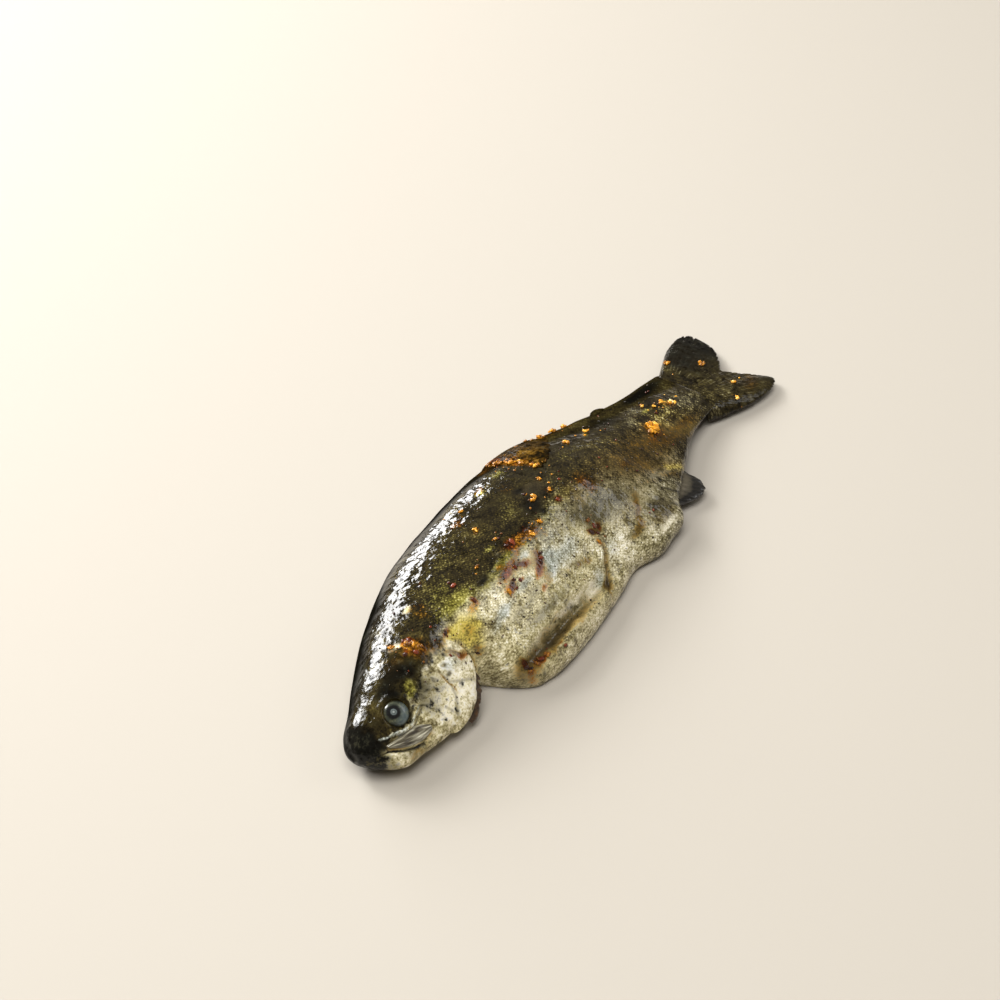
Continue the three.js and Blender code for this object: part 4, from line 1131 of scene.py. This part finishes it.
two_faced("gill_skirt", 14, 90, skirt_point, gill_skin_material(), (0.2, 0.05))


# ---------------------------------------------------------------- upper jaw plate
JAW_PLATE_LIFT = 1.1
JAW_UPPER = [(6, -9), (12, -11.4), (17, -13.2), (21, -15.5), (24.5, -18.6)]
JAW_LOWER = [(6, -10.6), (9, -14), (14, -17.3), (19, -19.2), (23.5, -19.9)]
JAW_SIZE = (18, 5)
JAW_DEPTH = 1.2


def jaw_point(u, v, face):
    """The plate between its two edges, crowned across and folded along."""
    spot = mix(spline(JAW_UPPER, u), spline(JAW_LOWER, u), v[..., None])
    at = spot[..., 0] / BODY_LENGTH
    crown = np.sin(math.pi * v) ** 0.5
    along = u * JAW_SIZE[0]
    folds = 0.12 * np.sin(v * 19 + 2.5 * ripple(along, v * 3, 9, 41)) * crown
    top = mix(0.1, JAW_PLATE_LIFT, crown) + folds + 0.1 * ripple(along, v * 6, 4, 42)
    return lifted(at, angle_off(at, spot[..., 1]), np.where(face > 0, top, JAW_DEPTH) * face)


def jaw_map(u, v):
    """Millimetres along the plate and across it."""
    return u * JAW_SIZE[0], v * JAW_SIZE[1]


def jaw_material():
    """Skin drawn thin over the jaw's bone, wet: silver, brown and blue-grey streaks along it."""
    material, tree, shader = new_material("raw_jaw_skin_over_bone_wet", {
        "Roughness": 0.3, "Coat Weight": 0.8, "Coat Roughness": 0.1,
    })
    surface = add(tree, "ShaderNodeUVMap", uv_map="surface").outputs[0]
    drawn = add(tree, "ShaderNodeMapping", {"Vector": surface, "Scale": (0.13, 1.0, 1.0)}).outputs[0]
    streaks = add(
        tree, "ShaderNodeTexNoise",
        {"Vector": drawn, "Scale": 1 / (1.1 * MM), "Detail": 3.0, "Roughness": 0.55},
    ).outputs[0]
    colour = toned(tree, streaks, [
        (0.3, "#12100c"), (0.42, "#3a342a"), (0.5, "#625d4c"), (0.58, "#8f8b79"), (0.7, "#cfccb8"),
    ])
    tree.links.new(colour, shader.inputs["Base Color"])
    height = add(
        tree, "ShaderNodeBump", {"Height": streaks, "Strength": 1.0, "Distance": 0.2 * MM},
    ).outputs[0]
    tree.links.new(height, shader.inputs["Normal"])
    return material


two_faced("jaw_plate", 60, 34, jaw_point, jaw_material(), (0.08, 0.1), map_mm=jaw_map)


# ---------------------------------------------------------------- eye
EYE_RADIUS = 5.5
EYE_PROUD = 1.2
EYE_RIM_DEPTH = 1.6
EYE_BACK_DEPTH = 3.52
EYE_RINGS = 26
EYE_SPOKES = 72
EYE_MERGE_DISTANCE = 0.01 * MM      # less than the other pieces', as its innermost ring is small
PUPIL_SHIFT = (-0.7, 1.3)


def surface_frame(along, off, height):
    """The place on the skin with its own axes: x along the fish, z out of it."""
    at = np.float64(along / BODY_LENGTH)
    angle = angle_off(at, off)
    out = Vector(normal_of(at, angle))
    forward = Vector(skin(at + NORMAL_STEP, angle) - skin(at - NORMAL_STEP, angle)).normalized()
    across = out.cross(forward).normalized()
    turn = Matrix((across.cross(out), across, out)).transposed().to_4x4()
    return Matrix.Translation(Vector(lifted(at, angle, np.float64(height))) * MM) @ turn


def eye_material():
    """A raw fish's eye, clouding after death: grey-green iris, dark ring of pupil round a pale lens, wet and
    glossy."""
    material, tree, shader = new_material("raw_fish_eye_clouded_wet", {
        "Roughness": 0.3, "Coat Weight": 0.4, "Coat Roughness": 0.08,
    })
    place = add(tree, "ShaderNodeTexCoord").outputs["Object"]
    clouds = add(
        tree, "ShaderNodeTexNoise",
        {"Vector": place, "Scale": 1 / (1.4 * MM), "Detail": 3.0, "Roughness": 0.6},
    ).outputs[0]
    from_pupil = add(tree, "ShaderNodeAttribute", attribute_name="from_pupil").outputs["Fac"]
    from_centre = add(tree, "ShaderNodeAttribute", attribute_name="from_centre").outputs["Fac"]
    wavy = add(
        tree, "ShaderNodeMath", {0: clouds, 1: 0.35, 2: from_pupil}, operation="MULTIPLY_ADD",
    ).outputs[0]
    colour = toned(tree, wavy, [
        (0.17, "#8f958f"), (0.6, "#6d7472"), (0.8, "#2f3638"), (1.1, "#5d6562"), (1.4, "#3d4547"),
        (1.6, "#080a0c"), (2.6, "#07090b"), (3.0, "#22261f"), (3.8, "#373b30"), (4.9, "#1c1f19"),
    ])
    # Past the pupil the iris is lighter and bluer on the belly's side, and olive in patches. Its rim is dark.
    lower = add(tree, "ShaderNodeAttribute", attribute_name="lower").outputs["Fac"]
    lower = add(tree, "ShaderNodeMath", {0: clouds, 1: 1.2, 2: lower}, operation="MULTIPLY_ADD").outputs[0]
    lower = add(
        tree, "ShaderNodeMapRange", {"Value": lower, "From Min": 0.35, "From Max": 1.4, "To Max": 0.75},
        interpolation_type="SMOOTHSTEP",
    ).outputs[0]
    olive = add(
        tree, "ShaderNodeMapRange", {"Value": clouds, "From Min": 0.5, "From Max": 0.75, "To Max": 0.55},
    ).outputs[0]
    beyond = add(
        tree, "ShaderNodeMapRange", {"Value": from_pupil, "From Min": 2.3, "From Max": 3.2},
    ).outputs[0]
    rim = add(
        tree, "ShaderNodeMapRange", {"Value": from_centre, "From Min": 4.5, "From Max": 5.1},
    ).outputs[0]
    for share, where, tone in ((lower, beyond, "#5b686a"), (olive, beyond, "#6b6a45"), (rim, 1.0, "#231d10")):
        share = add(tree, "ShaderNodeMath", {0: share, 1: where}, operation="MULTIPLY").outputs[0]
        colour = add(
            tree, "ShaderNodeMix", {0: share, 6: colour, 7: linear(tone)}, data_type="RGBA",
        ).outputs[2]
    tree.links.new(colour, shader.inputs["Base Color"])
    return material


def make_eye():
    """The eyeball's bulge, spun from its profile, with each point's place for the material's rings."""
    eye = bmesh.new()
    profile = []
    for i in range(EYE_RINGS + 1):
        t = i / EYE_RINGS
        height = EYE_PROUD * (1 - t * t) - EYE_RIM_DEPTH * t ** 6
        profile.append(eye.verts.new((EYE_RADIUS * t * MM, 0, height * MM)))
    profile.append(eye.verts.new((0, 0, -EYE_BACK_DEPTH * MM)))
    edges = [eye.edges.new(pair) for pair in zip(profile, profile[1:])]
    bmesh.ops.spin(
        eye, geom=profile + edges, cent=(0, 0, 0), axis=(0, 0, 1), angle=math.tau, steps=EYE_SPOKES,
        use_merge=True,
    )
    bmesh.ops.remove_doubles(eye, verts=eye.verts, dist=EYE_MERGE_DISTANCE)
    bmesh.ops.recalc_face_normals(eye, faces=eye.faces)
    from_pupil = eye.verts.layers.float.new("from_pupil")
    from_centre = eye.verts.layers.float.new("from_centre")
    lower = eye.verts.layers.float.new("lower")
    for vertex in eye.verts:
        x, y = vertex.co.x / MM, vertex.co.y / MM
        vertex[from_pupil] = math.hypot(x - PUPIL_SHIFT[0], y - PUPIL_SHIFT[1])
        vertex[from_centre] = math.hypot(x, y)
        vertex[lower] = (0.35 * x - y) / EYE_RADIUS
    bmesh.ops.transform(eye, matrix=surface_frame(*EYE, 0), verts=eye.verts)
    mesh = bpy.data.meshes.new("eye")
    eye.to_mesh(mesh)
    eye.free()
    make_piece("eye", mesh, eye_material())


make_eye()


# ---------------------------------------------------------------- fins
TAIL_ROOT = 9
TAIL_ROOT_THICKNESS = 3.8
TAIL_EDGE_THICKNESS = 1.1
TAIL_EDGE_HEIGHT = 3.4
TAIL_EDGE = [
    (2, 17.5), (11, 21.5), (21, 25.4), (30, 26.4), (36.5, 24.6), (38, 18.5), (34.5, 9), (28, 2),
    (23.5, -2), (26, -7.5), (30, -14.5), (33, -21.5), (30.5, -25.2), (22, -26.4), (11, -24.6), (0, -20.4),
    (-10, -15.6),
]
TAIL_ROOT_HALF = 12.5
TAIL_RIPPLE = 0.7
TAIL_WAVES = 17
TAIL_RAYS = 30
TAIL_OIL = 0.7
UPPER_FACE = 0.9        # the rise that a fin's colours are taken at


def fraying(v, key):
    """Nicks and worn points along a fin's edge, 0 to 1."""
    worn = 0.5 + 0.5 * ripple(v * 100, 0, 9, key)
    nicks = np.maximum(0, ripple(v * 100, 0, 2.2, key + 1))
    return np.clip(0.6 * worn + 0.5 * nicks, 0, 1)


def tail_spot(u, v):
    """Place on the tail fin in plan: millimetres past the body's end, and off the spine."""
    root = np.stack([np.full(np.shape(v), -TAIL_ROOT), mix(TAIL_ROOT_HALF, -TAIL_ROOT_HALF, v)], -1)
    out = u * (1 - 0.05 * fraying(v, 51) * smooth(0.6, 1, u))
    return mix(root, spline(TAIL_EDGE, v), out[..., None])


def tail_point(u, v, face):
    """The tail fin's two faces, waved, with rays that branch half way out."""
    spot = tail_spot(u, v)
    wave = TAIL_RIPPLE * u * np.sin(TAIL_WAVES * v) * np.sin(math.pi * v)
    middle = mix(SECTIONS["mid"][-1], TAIL_EDGE_HEIGHT, u * u) + wave
    half = mix(TAIL_ROOT_THICKNESS, TAIL_EDGE_THICKNESS, u ** 0.6) / 2
    single, double = (np.abs(np.sin(math.pi * rays * v)) for rays in (TAIL_RAYS, 2 * TAIL_RAYS))
    branching = mix(single, double, smooth(0.45, 0.7, u))
    rays = 0.12 * (branching - 0.5) * smooth(0.15, 0.45, u) * (1 - 0.5 * u)
    return beside_spine(1 + spot[..., 0] / BODY_LENGTH, spot[..., 1], middle + face * (half + rays))


def tail_marks(u, v):
    """The skin's colours carried on over the tail fin, with its fine rays as lighter lines."""
    spot = tail_spot(u, v)
    along, off = BODY_LENGTH + spot[..., 0], spot[..., 1]
    marks = skin_marks_at(along, off, np.full(np.shape(u), UPPER_FACE))
    lines = np.clip(np.sin(math.tau * TAIL_RAYS * v + 0.8 * ripple(u * 30, v * 60, 9, 53)), 0, 1) ** 2
    worn = 0.5 + 0.5 * ripple(along, off, 7, 54)
    rays = lines * smooth(258, 266, along) * (1 - smooth(0.7, 1, u)) * worn
    marks["grey"] = np.maximum(marks["grey"], 0.75 * rays)
    marks["brown"] = np.maximum(marks["brown"], 0.6 * patch(along, off, (283, -17), (9, 4), 25))
    marks["oiled"] = np.full(np.shape(u), TAIL_OIL)
    return marks


def tail_map(u, v):
    """Millimetres along the fish and off the spine."""
    spot = tail_spot(u, v)
    return BODY_LENGTH + spot[..., 0], spot[..., 1]


two_faced("tail_fin", 90, 320, tail_point, SKIN, (0.05, 0.02), tail_marks, tail_map)

VENT_FIN_EDGE = [(194, -33), (200, -37), (206, -39), (211, -38.2), (214.5, -33.5), (215, -24)]
VENT_FIN_ROOT = np.array([(186, -27), (214, -19)], float)
VENT_FIN_THICKNESS = 1.6
VENT_FIN_HEIGHTS = (7.5, 4.6)
VENT_FIN_RAYS = 11


def vent_fin_point(u, v, face):
    """The vent fin's two faces, thinner and frayed at the edge, with ribs for its rays."""
    out = u * (1 - 0.07 * fraying(v, 61) * smooth(0.6, 1, u))
    spot = mix(mix(*VENT_FIN_ROOT, v[..., None]), spline(VENT_FIN_EDGE, v), out[..., None])
    height = mix(*VENT_FIN_HEIGHTS, u) + 0.25 * ripple(v * 30, u * 10, 6, 62)
    rays = 0.16 * np.sin(v * math.tau * VENT_FIN_RAYS) * smooth(0.1, 0.4, u)
    half = VENT_FIN_THICKNESS / 2 * (1.4 - 0.5 * u) + rays
    return beside_spine(spot[..., 0] / BODY_LENGTH, spot[..., 1], height + face * half)


def vent_fin_map(u, v):
    """Shares of the fin's length and width, as the drawn rays and the black edge take them."""
    return u, v


two_faced("vent_fin", 40, 90, vent_fin_point, vent_fin_material(), (0.12, 0.04), map_mm=vent_fin_map)

BACK_FIN_LIFT = 1.3
BACK_FIN_SPAN = (0.588, 0.672)
BACK_FIN_SLANT = (0.012, 0.018)     # how far a ray's end lies behind its root, on the first ray and the last
BACK_FIN_RAY_ENDS = (8.5, 20)       # how far off the spine the first ray ends, and the last
BACK_FIN_ROOT_ANGLE = -0.35
BACK_FIN_RAYS = 16
BACK_FIN_MAP = ((153, 24), (30, -22))   # along the fish and off its middle line: the map's start and length


def back_fin_place(u, v, fraying_depth):
    """Place along the body, angle round it, and how far off the spine the ray ends."""
    at = mix(*BACK_FIN_SPAN, v) + u * mix(*BACK_FIN_SLANT, v)
    ray_end = mix(*BACK_FIN_RAY_ENDS, v * v) + fraying_depth * fraying(v, 71)
    return at, mix(BACK_FIN_ROOT_ANGLE, angle_off(at, ray_end), u), ray_end


def back_fin_point(u, v, face):
    """The back fin, folded over the upper flank with its rays running down it from the back's edge."""
    at, angle, _ = back_fin_place(u, v, 2.2)
    rays = 0.08 * np.sin(v * math.tau * BACK_FIN_RAYS) * smooth(0.05, 0.3, u)
    top = mix(BACK_FIN_LIFT, 0.5, u * u) + rays
    return lifted(at, angle, np.where(face > 0, top, 1) * face)


def back_fin_marks(u, v):
    """The back's own colours on the fin, browner, darker towards its last ray, and with little oil."""
    at, angle, ray_end = back_fin_place(u, v, 0)
    marks = skin_marks_at(at * BODY_LENGTH, mix(0.9 * section("back", at), ray_end, u), np.sin(angle))
    marks["scaled"] = np.zeros(np.shape(u))
    marks["brown"] = np.maximum(marks["brown"], 0.6 * smooth(0.15, 0.6, u))
    marks["black"] = np.maximum(0.4 * marks["black"], 0.5 * smooth(0.15, 0.7, v))
    marks["paprika"] *= 0.6
    marks["oiled"] *= 0.15
    return marks


def back_fin_map(u, v):
    """Millimetres along the fish and off its middle line, about where the fin lies."""
    (along, length), (off, width) = BACK_FIN_MAP
    return along + length * v, off + width * u


two_faced("back_fin", 50, 80, back_fin_point, SKIN, (0.1, 0.06), back_fin_marks, back_fin_map)

FAT_FIN_CENTRE = (216, 18.5)
FAT_FIN_SIZE = (10, 4)
FAT_FIN_HEIGHT = 1.7
FAT_FIN_DEPTH = 0.8


def fat_fin_map(u, v, bulge=1):
    """Millimetres along the fish and off its middle line, with the width narrowed to a bulge's share."""
    (along, off), (length, width) = FAT_FIN_CENTRE, FAT_FIN_SIZE
    return along + length * (u - 0.5), off + width * (0.5 - v) * bulge


def fat_fin_point(u, v, face):
    """A small boneless lobe, crowned across and blunt at both ends."""
    bulge = np.sin(math.pi * mix(0.12, 0.94, u ** 0.7))
    along, off = fat_fin_map(u, v, bulge)
    at = along / BODY_LENGTH
    crown = np.sin(math.pi * mix(0.1, 0.9, v)) * bulge
    return lifted(at, angle_off(at, off), np.where(face > 0, FAT_FIN_HEIGHT * crown, FAT_FIN_DEPTH) * face)


def fat_fin_marks(u, v):
    """The back's own colours, without scales."""
    marks = skin_marks_at(*fat_fin_map(u, v), np.full(np.shape(u), UPPER_FACE))
    marks["scaled"] = np.zeros(np.shape(u))
    return marks


two_faced("fat_fin", 24, 24, fat_fin_point, SKIN, (0.15, 0.15), fat_fin_marks, fat_fin_map)


# ---------------------------------------------------------------- seasoning
def tail_frame(along, off, height):
    """The spot of the tail fin's upper face that is nearest in plan to a place beside the spine."""
    wanted = beside_spine(along / BODY_LENGTH, off, 0)
    u, v = np.meshgrid(np.linspace(0, 1, 61), np.linspace(0, 1, 121))
    spots = tail_point(u, v, 1)
    nearest = np.hypot(spots[..., 0] - wanted[0], spots[..., 1] - wanted[1]).argmin()
    spot = spots.reshape(-1, 3)[nearest]
    return Matrix.Translation(Vector((spot[0], spot[1], spot[2] + height)) * MM)


def rough_blob(bits, tone, matrix, radii, roughness, detail, draw):
    """An uneven little lump of a tone of 0 to 1 and the given radii in millimetres."""
    made = bmesh.ops.create_icosphere(bits, subdivisions=detail, radius=1.0)["verts"]
    layer = bits.verts.layers.float["tone"]
    key = draw.random() * 50
    for vertex in made:
        x, y, z = vertex.co * 2.2
        bump = math.sin(x * 1.9 + key) * math.sin(y * 2.3 + key * 1.7)
        bump += 0.6 * math.sin(z * 4.1 + x * 3 + key * 2.3)
        vertex.co *= 1 + roughness * bump
        vertex[layer] = tone
    size = Matrix.Diagonal((*(radius * MM for radius in radii), 1))
    bmesh.ops.transform(bits, matrix=matrix @ size, verts=made)


def place_on_fish(along, off, lift):
    """Where a bit lies: turned to the surface on the body, and upright on the tail fin."""
    if along > BODY_LENGTH - 1:
        return tail_frame(along, off, lift)
    return resting_place(along, off, lift)


def any_turn(draw):
    """A random turn about the upright axis."""
    return Matrix.Rotation(draw.uniform(0, math.tau), 4, "Z")


def scattered(name, build, material):
    """A piece of many bits, which build makes in a bmesh."""
    bits = bmesh.new()
    bits.verts.layers.float.new("tone")
    build(bits)
    bmesh.ops.recalc_face_normals(bits, faces=bits.faces)
    mesh = bpy.data.meshes.new(name)
    bits.to_mesh(mesh)
    bits.free()
    make_piece(name, mesh, material)


# How many crumbs a small grain and a large one are made of, and their least and largest radius as shares of
# the grain's own.
GRAIN_CRUMBS = [(7, 0.26, 0.6), (16, 0.28, 0.46)]


def grated_garlic(bits):
    """Each of the solid's grains as a heap of rough crumbs."""
    draw = random.Random(5)
    for along, off, size, turn, shade in grain_places():
        foot = place_on_fish(along, off, 0.1 * size) @ Matrix.Rotation(turn, 4, "Z")
        crumbs, least, largest = GRAIN_CRUMBS[size > LARGE_GRAIN]
        tone = min(1, max(0, draw.gauss(shade, 0.13)))
        for _ in range(crumbs):
            x, y = draw.uniform(-0.75, 0.75) * size, draw.uniform(-0.5, 0.5) * size
            middle = foot @ Matrix.Translation(Vector((x, y, draw.uniform(0.0, 0.3) * size)) * MM)
            radius = draw.uniform(least, largest) * size
            stretch = (draw.uniform(0.8, 1.5), draw.uniform(0.45, 0.9), draw.uniform(0.4, 0.8))
            middle = middle @ any_turn(draw)
            crumb_tone = min(1, max(0, tone + draw.gauss(0, 0.15)))
            rough_blob(bits, crumb_tone, middle, [radius * way for way in stretch], 0.26, 3, draw)


def small_garlic(bits):
    """Finer crumbs, thickest round the large grains."""
    draw = random.Random(6)
    for along, off, _, _, shade in grain_places():
        for _ in range(3 if along < BODY_LENGTH else 1):
            crumb_along, crumb_off = along + draw.gauss(0, 3.5), off + draw.gauss(0, 2.5)
            if crumb_along > BODY_LENGTH - 4 and along < BODY_LENGTH:
                continue
            at = np.float64(min(crumb_along, BODY_LENGTH) / BODY_LENGTH)
            if along < BODY_LENGTH and abs(crumb_off) > 0.9 * reach_off(at, crumb_off):
                continue
            radius = draw.uniform(0.18, 0.45)
            foot = place_on_fish(crumb_along, crumb_off, 0.1 * radius) @ any_turn(draw)
            shape = (radius * draw.uniform(1, 1.6), radius, radius * 0.7)
            rough_blob(bits, shade * draw.uniform(0, 1.2), foot, shape, 0.18, 2, draw)


# The flakes that stand out: place along and off, and radius. The rest are scattered.
LARGE_FLAKES = [
    (111, -5.2, 2.2), (108, -4.4, 1.6), (143, -7, 1.4), (147, -21.5, 1.8), (143.5, -22.5, 2.0),
    (146, -24, 1.2), (116, -15.2, 1.5), (114.5, -16.5, 1.7), (113, -17.4, 1.4), (77.7, 1.3, 2.0),
    (97, -14.4, 1.3), (76.7, -8.6, 1.6), (46, 2, 1.8), (45, 4, 1.2), (74.6, -35.2, 1.6),
    (80.7, -36.5, 1.8), (73.6, -33.8, 1.5), (99, -16, 1.2), (102, -12, 1.4), (95, -17, 1.2),
    (92, -40.8, 1.2), (58, -7, 1.3), (65, -17, 1.2), (52, -12, 1.3), (40, 0, 1.3), (43, -3, 1.5),
    (137, 5, 1.2), (228, -3, 1.2), (201, -12, 1.0),
]
FLAKE_COUNT = 90
SPECK_COUNT = 380
SPECK_RADII = (0.16, 0.2, 0.24, 0.3, 0.42)


def chilli(bits):
    """The large flakes, and small ones scattered over the flank."""
    draw = random.Random(7)
    places = list(LARGE_FLAKES)
    while len(places) < FLAKE_COUNT:
        along = draw.uniform(30, 245)
        at = np.float64(along / BODY_LENGTH)
        off = draw.uniform(-0.85 * section("belly", at), 0.75 * section("back", at))
        places.append((along, off, draw.uniform(0.4, 0.9)))
    for along, off, size in places:
        foot = place_on_fish(along, off, 0.12) @ any_turn(draw)
        lean = Matrix.Rotation(draw.uniform(-0.3, 0.3), 4, "X")
        shape = (size * 0.75, size * draw.uniform(0.35, 0.6), 0.22 + 0.08 * size)
        rough_blob(bits, draw.random(), foot @ lean, shape, 0.22, 2, draw)


def pepper(bits):
    """Specks over the whole flank, thicker below the middle."""
    draw = random.Random(8)
    count = 0
    while count < SPECK_COUNT:
        along = draw.uniform(24, 250)
        at = np.float64(along / BODY_LENGTH)
        off = draw.uniform(-0.97 * section("belly", at), 0.8 * section("back", at))
        if draw.random() > 0.35 + 0.65 * smooth(2, -8, off):
            continue
        count += 1
        radius = draw.choice(SPECK_RADII)
        foot = place_on_fish(along, off, 0.05) @ any_turn(draw)
        shape = (radius * draw.uniform(1, 1.5), radius, radius * 0.6)
        rough_blob(bits, draw.random(), foot, shape, 0.2, 1, draw)


def bit_material(name, tones, roughness, coat, grit, bump):
    """Small bits of food, each of a tone of its own, 0 to 1, that picks its colour. Fine mottling keeps them
    from looking like beads, and oil gives them a broken gloss. Grit and bump are in millimetres."""
    material, tree, shader = new_material(name, {
        "Roughness": roughness, "Coat Weight": coat, "Coat Roughness": 0.08,
    })
    place = add(tree, "ShaderNodeTexCoord").outputs["Object"]
    tone = add(tree, "ShaderNodeAttribute", attribute_name="tone").outputs["Fac"]
    clouds = add(
        tree, "ShaderNodeTexNoise",
        {"Vector": place, "Scale": 1 / (grit * MM), "Detail": 3.0, "Roughness": 0.6},
    ).outputs[0]
    mottled = add(tree, "ShaderNodeMath", {0: clouds, 1: 0.7, 2: tone}, operation="MULTIPLY_ADD").outputs[0]
    steps = np.linspace(0.35, 1.35, len(tones))
    colour = toned(tree, mottled, list(zip(steps.tolist(), tones)))
    tree.links.new(colour, shader.inputs["Base Color"])
    height = add(
        tree, "ShaderNodeBump", {"Height": clouds, "Strength": 1.0, "Distance": bump * MM},
    ).outputs[0]
    tree.links.new(height, shader.inputs["Normal"])
    return material


GARLIC = bit_material(
    "grated_garlic_in_paprika_oil_wet", ("#5a3410", "#96621a", "#d6901c", "#eab444", "#f3deae"),
    roughness=0.4, coat=0.35, grit=0.7, bump=0.2,
)
CHILLI = bit_material(
    "dried_chilli_crushed_oiled", ("#1a0803", "#431608", "#6f2c10"),
    roughness=0.4, coat=0.5, grit=0.6, bump=0.1,
)
PEPPER = bit_material(
    "black_pepper_ground_oiled", ("#0d0a06", "#221a10", "#43351f"),
    roughness=0.5, coat=0.4, grit=0.3, bump=0.05,
)
scattered("garlic_grains", grated_garlic, GARLIC)
scattered("garlic_crumbs", small_garlic, GARLIC)
scattered("chilli_flakes", chilli, CHILLI)
scattered("pepper_specks", pepper, PEPPER)


# ---------------------------------------------------------------- camera, light and floor
CAMERA_TARGET = Vector((12.54, 35.577, 0)) * MM
CAMERA_BACK = Vector((-0.6358, -0.4012, 0.6594)).normalized()
CAMERA_DISTANCE = 1.1667
CAMERA_LENS = 100.8
SENSOR_WIDTH = 36
ROOM_STRENGTH = 0.22
FLOOR_SIZE = 3.0


camera = bpy.data.objects.new("camera", bpy.data.cameras.new("camera"))
camera.data.lens = CAMERA_LENS
camera.data.sensor_width = SENSOR_WIDTH
camera.location = CAMERA_TARGET + CAMERA_BACK * CAMERA_DISTANCE
camera.rotation_euler = (camera.location - CAMERA_TARGET).to_track_quat("Z", "Y").to_euler()
bpy.context.scene.collection.objects.link(camera)
bpy.context.scene.camera = camera
bpy.context.scene.view_settings.view_transform = "Standard"


def softbox(name, direction, long_axis, distance, size, power, mirrored=True):
    """A soft rectangular light over the fish's middle, its long side along an axis. One that isn't mirrored
    lights the fish but doesn't show in its gloss."""
    light = bpy.data.lights.new(name, "AREA")
    light.shape = "RECTANGLE"
    light.size, light.size_y = size
    light.energy = power
    back = Vector(direction).normalized()
    side = Vector(long_axis)
    side = (side - side.dot(back) * back).normalized()
    box = bpy.data.objects.new(name, light)
    turn = Matrix((side, back.cross(side), back)).transposed().to_4x4()
    box.matrix_world = Matrix.Translation(back * distance) @ turn
    box.visible_glossy = mirrored
    bpy.context.scene.collection.objects.link(box)


softbox("key_softbox", (0.27, 0.87, 0.412), (-0.87, 0.06, 0.48), 1.6, (1.45, 0.34), 25)
softbox("brow_softbox", (0.053, 0.84, 0.54), (1, 0, 0), 1.6, (0.36, 0.6), 12)
softbox("flank_glint_softbox", (0.55, -0.5, 0.67), (0, 1, 0), 1.6, (0.8, 0.5), 3)
softbox("back_softbox", (0.0, 0.75, 0.66), (1, 0, 0), 1.7, (1.4, 0.9), 28, mirrored=False)
softbox("top_softbox", (-0.3, -0.1, 0.95), (1, 0, 0), 1.7, (1.3, 1.0), 33, mirrored=False)

# The room's own dim, warm light.
world = bpy.data.worlds.new("studio")
bpy.context.scene.world = world
world.use_nodes = True
world.node_tree.nodes["Background"].inputs["Color"].default_value = linear("#fff1dc")
world.node_tree.nodes["Background"].inputs["Strength"].default_value = ROOM_STRENGTH

floor_mesh = bmesh.new()
bmesh.ops.create_grid(floor_mesh, x_segments=4, y_segments=4, size=FLOOR_SIZE)
floor_data = bpy.data.meshes.new("floor")
floor_mesh.to_mesh(floor_data)
floor_mesh.free()
floor = bpy.data.objects.new("floor", floor_data)
bpy.context.scene.collection.objects.link(floor)
# Board rolled with matt paint: an even pale ground that takes soft shadows and no reflections.
floor_material, *_ = new_material("floor_matt_board", {"Base Color": linear("#a39d93"), "Roughness": 0.8})
floor_data.materials.append(floor_material)
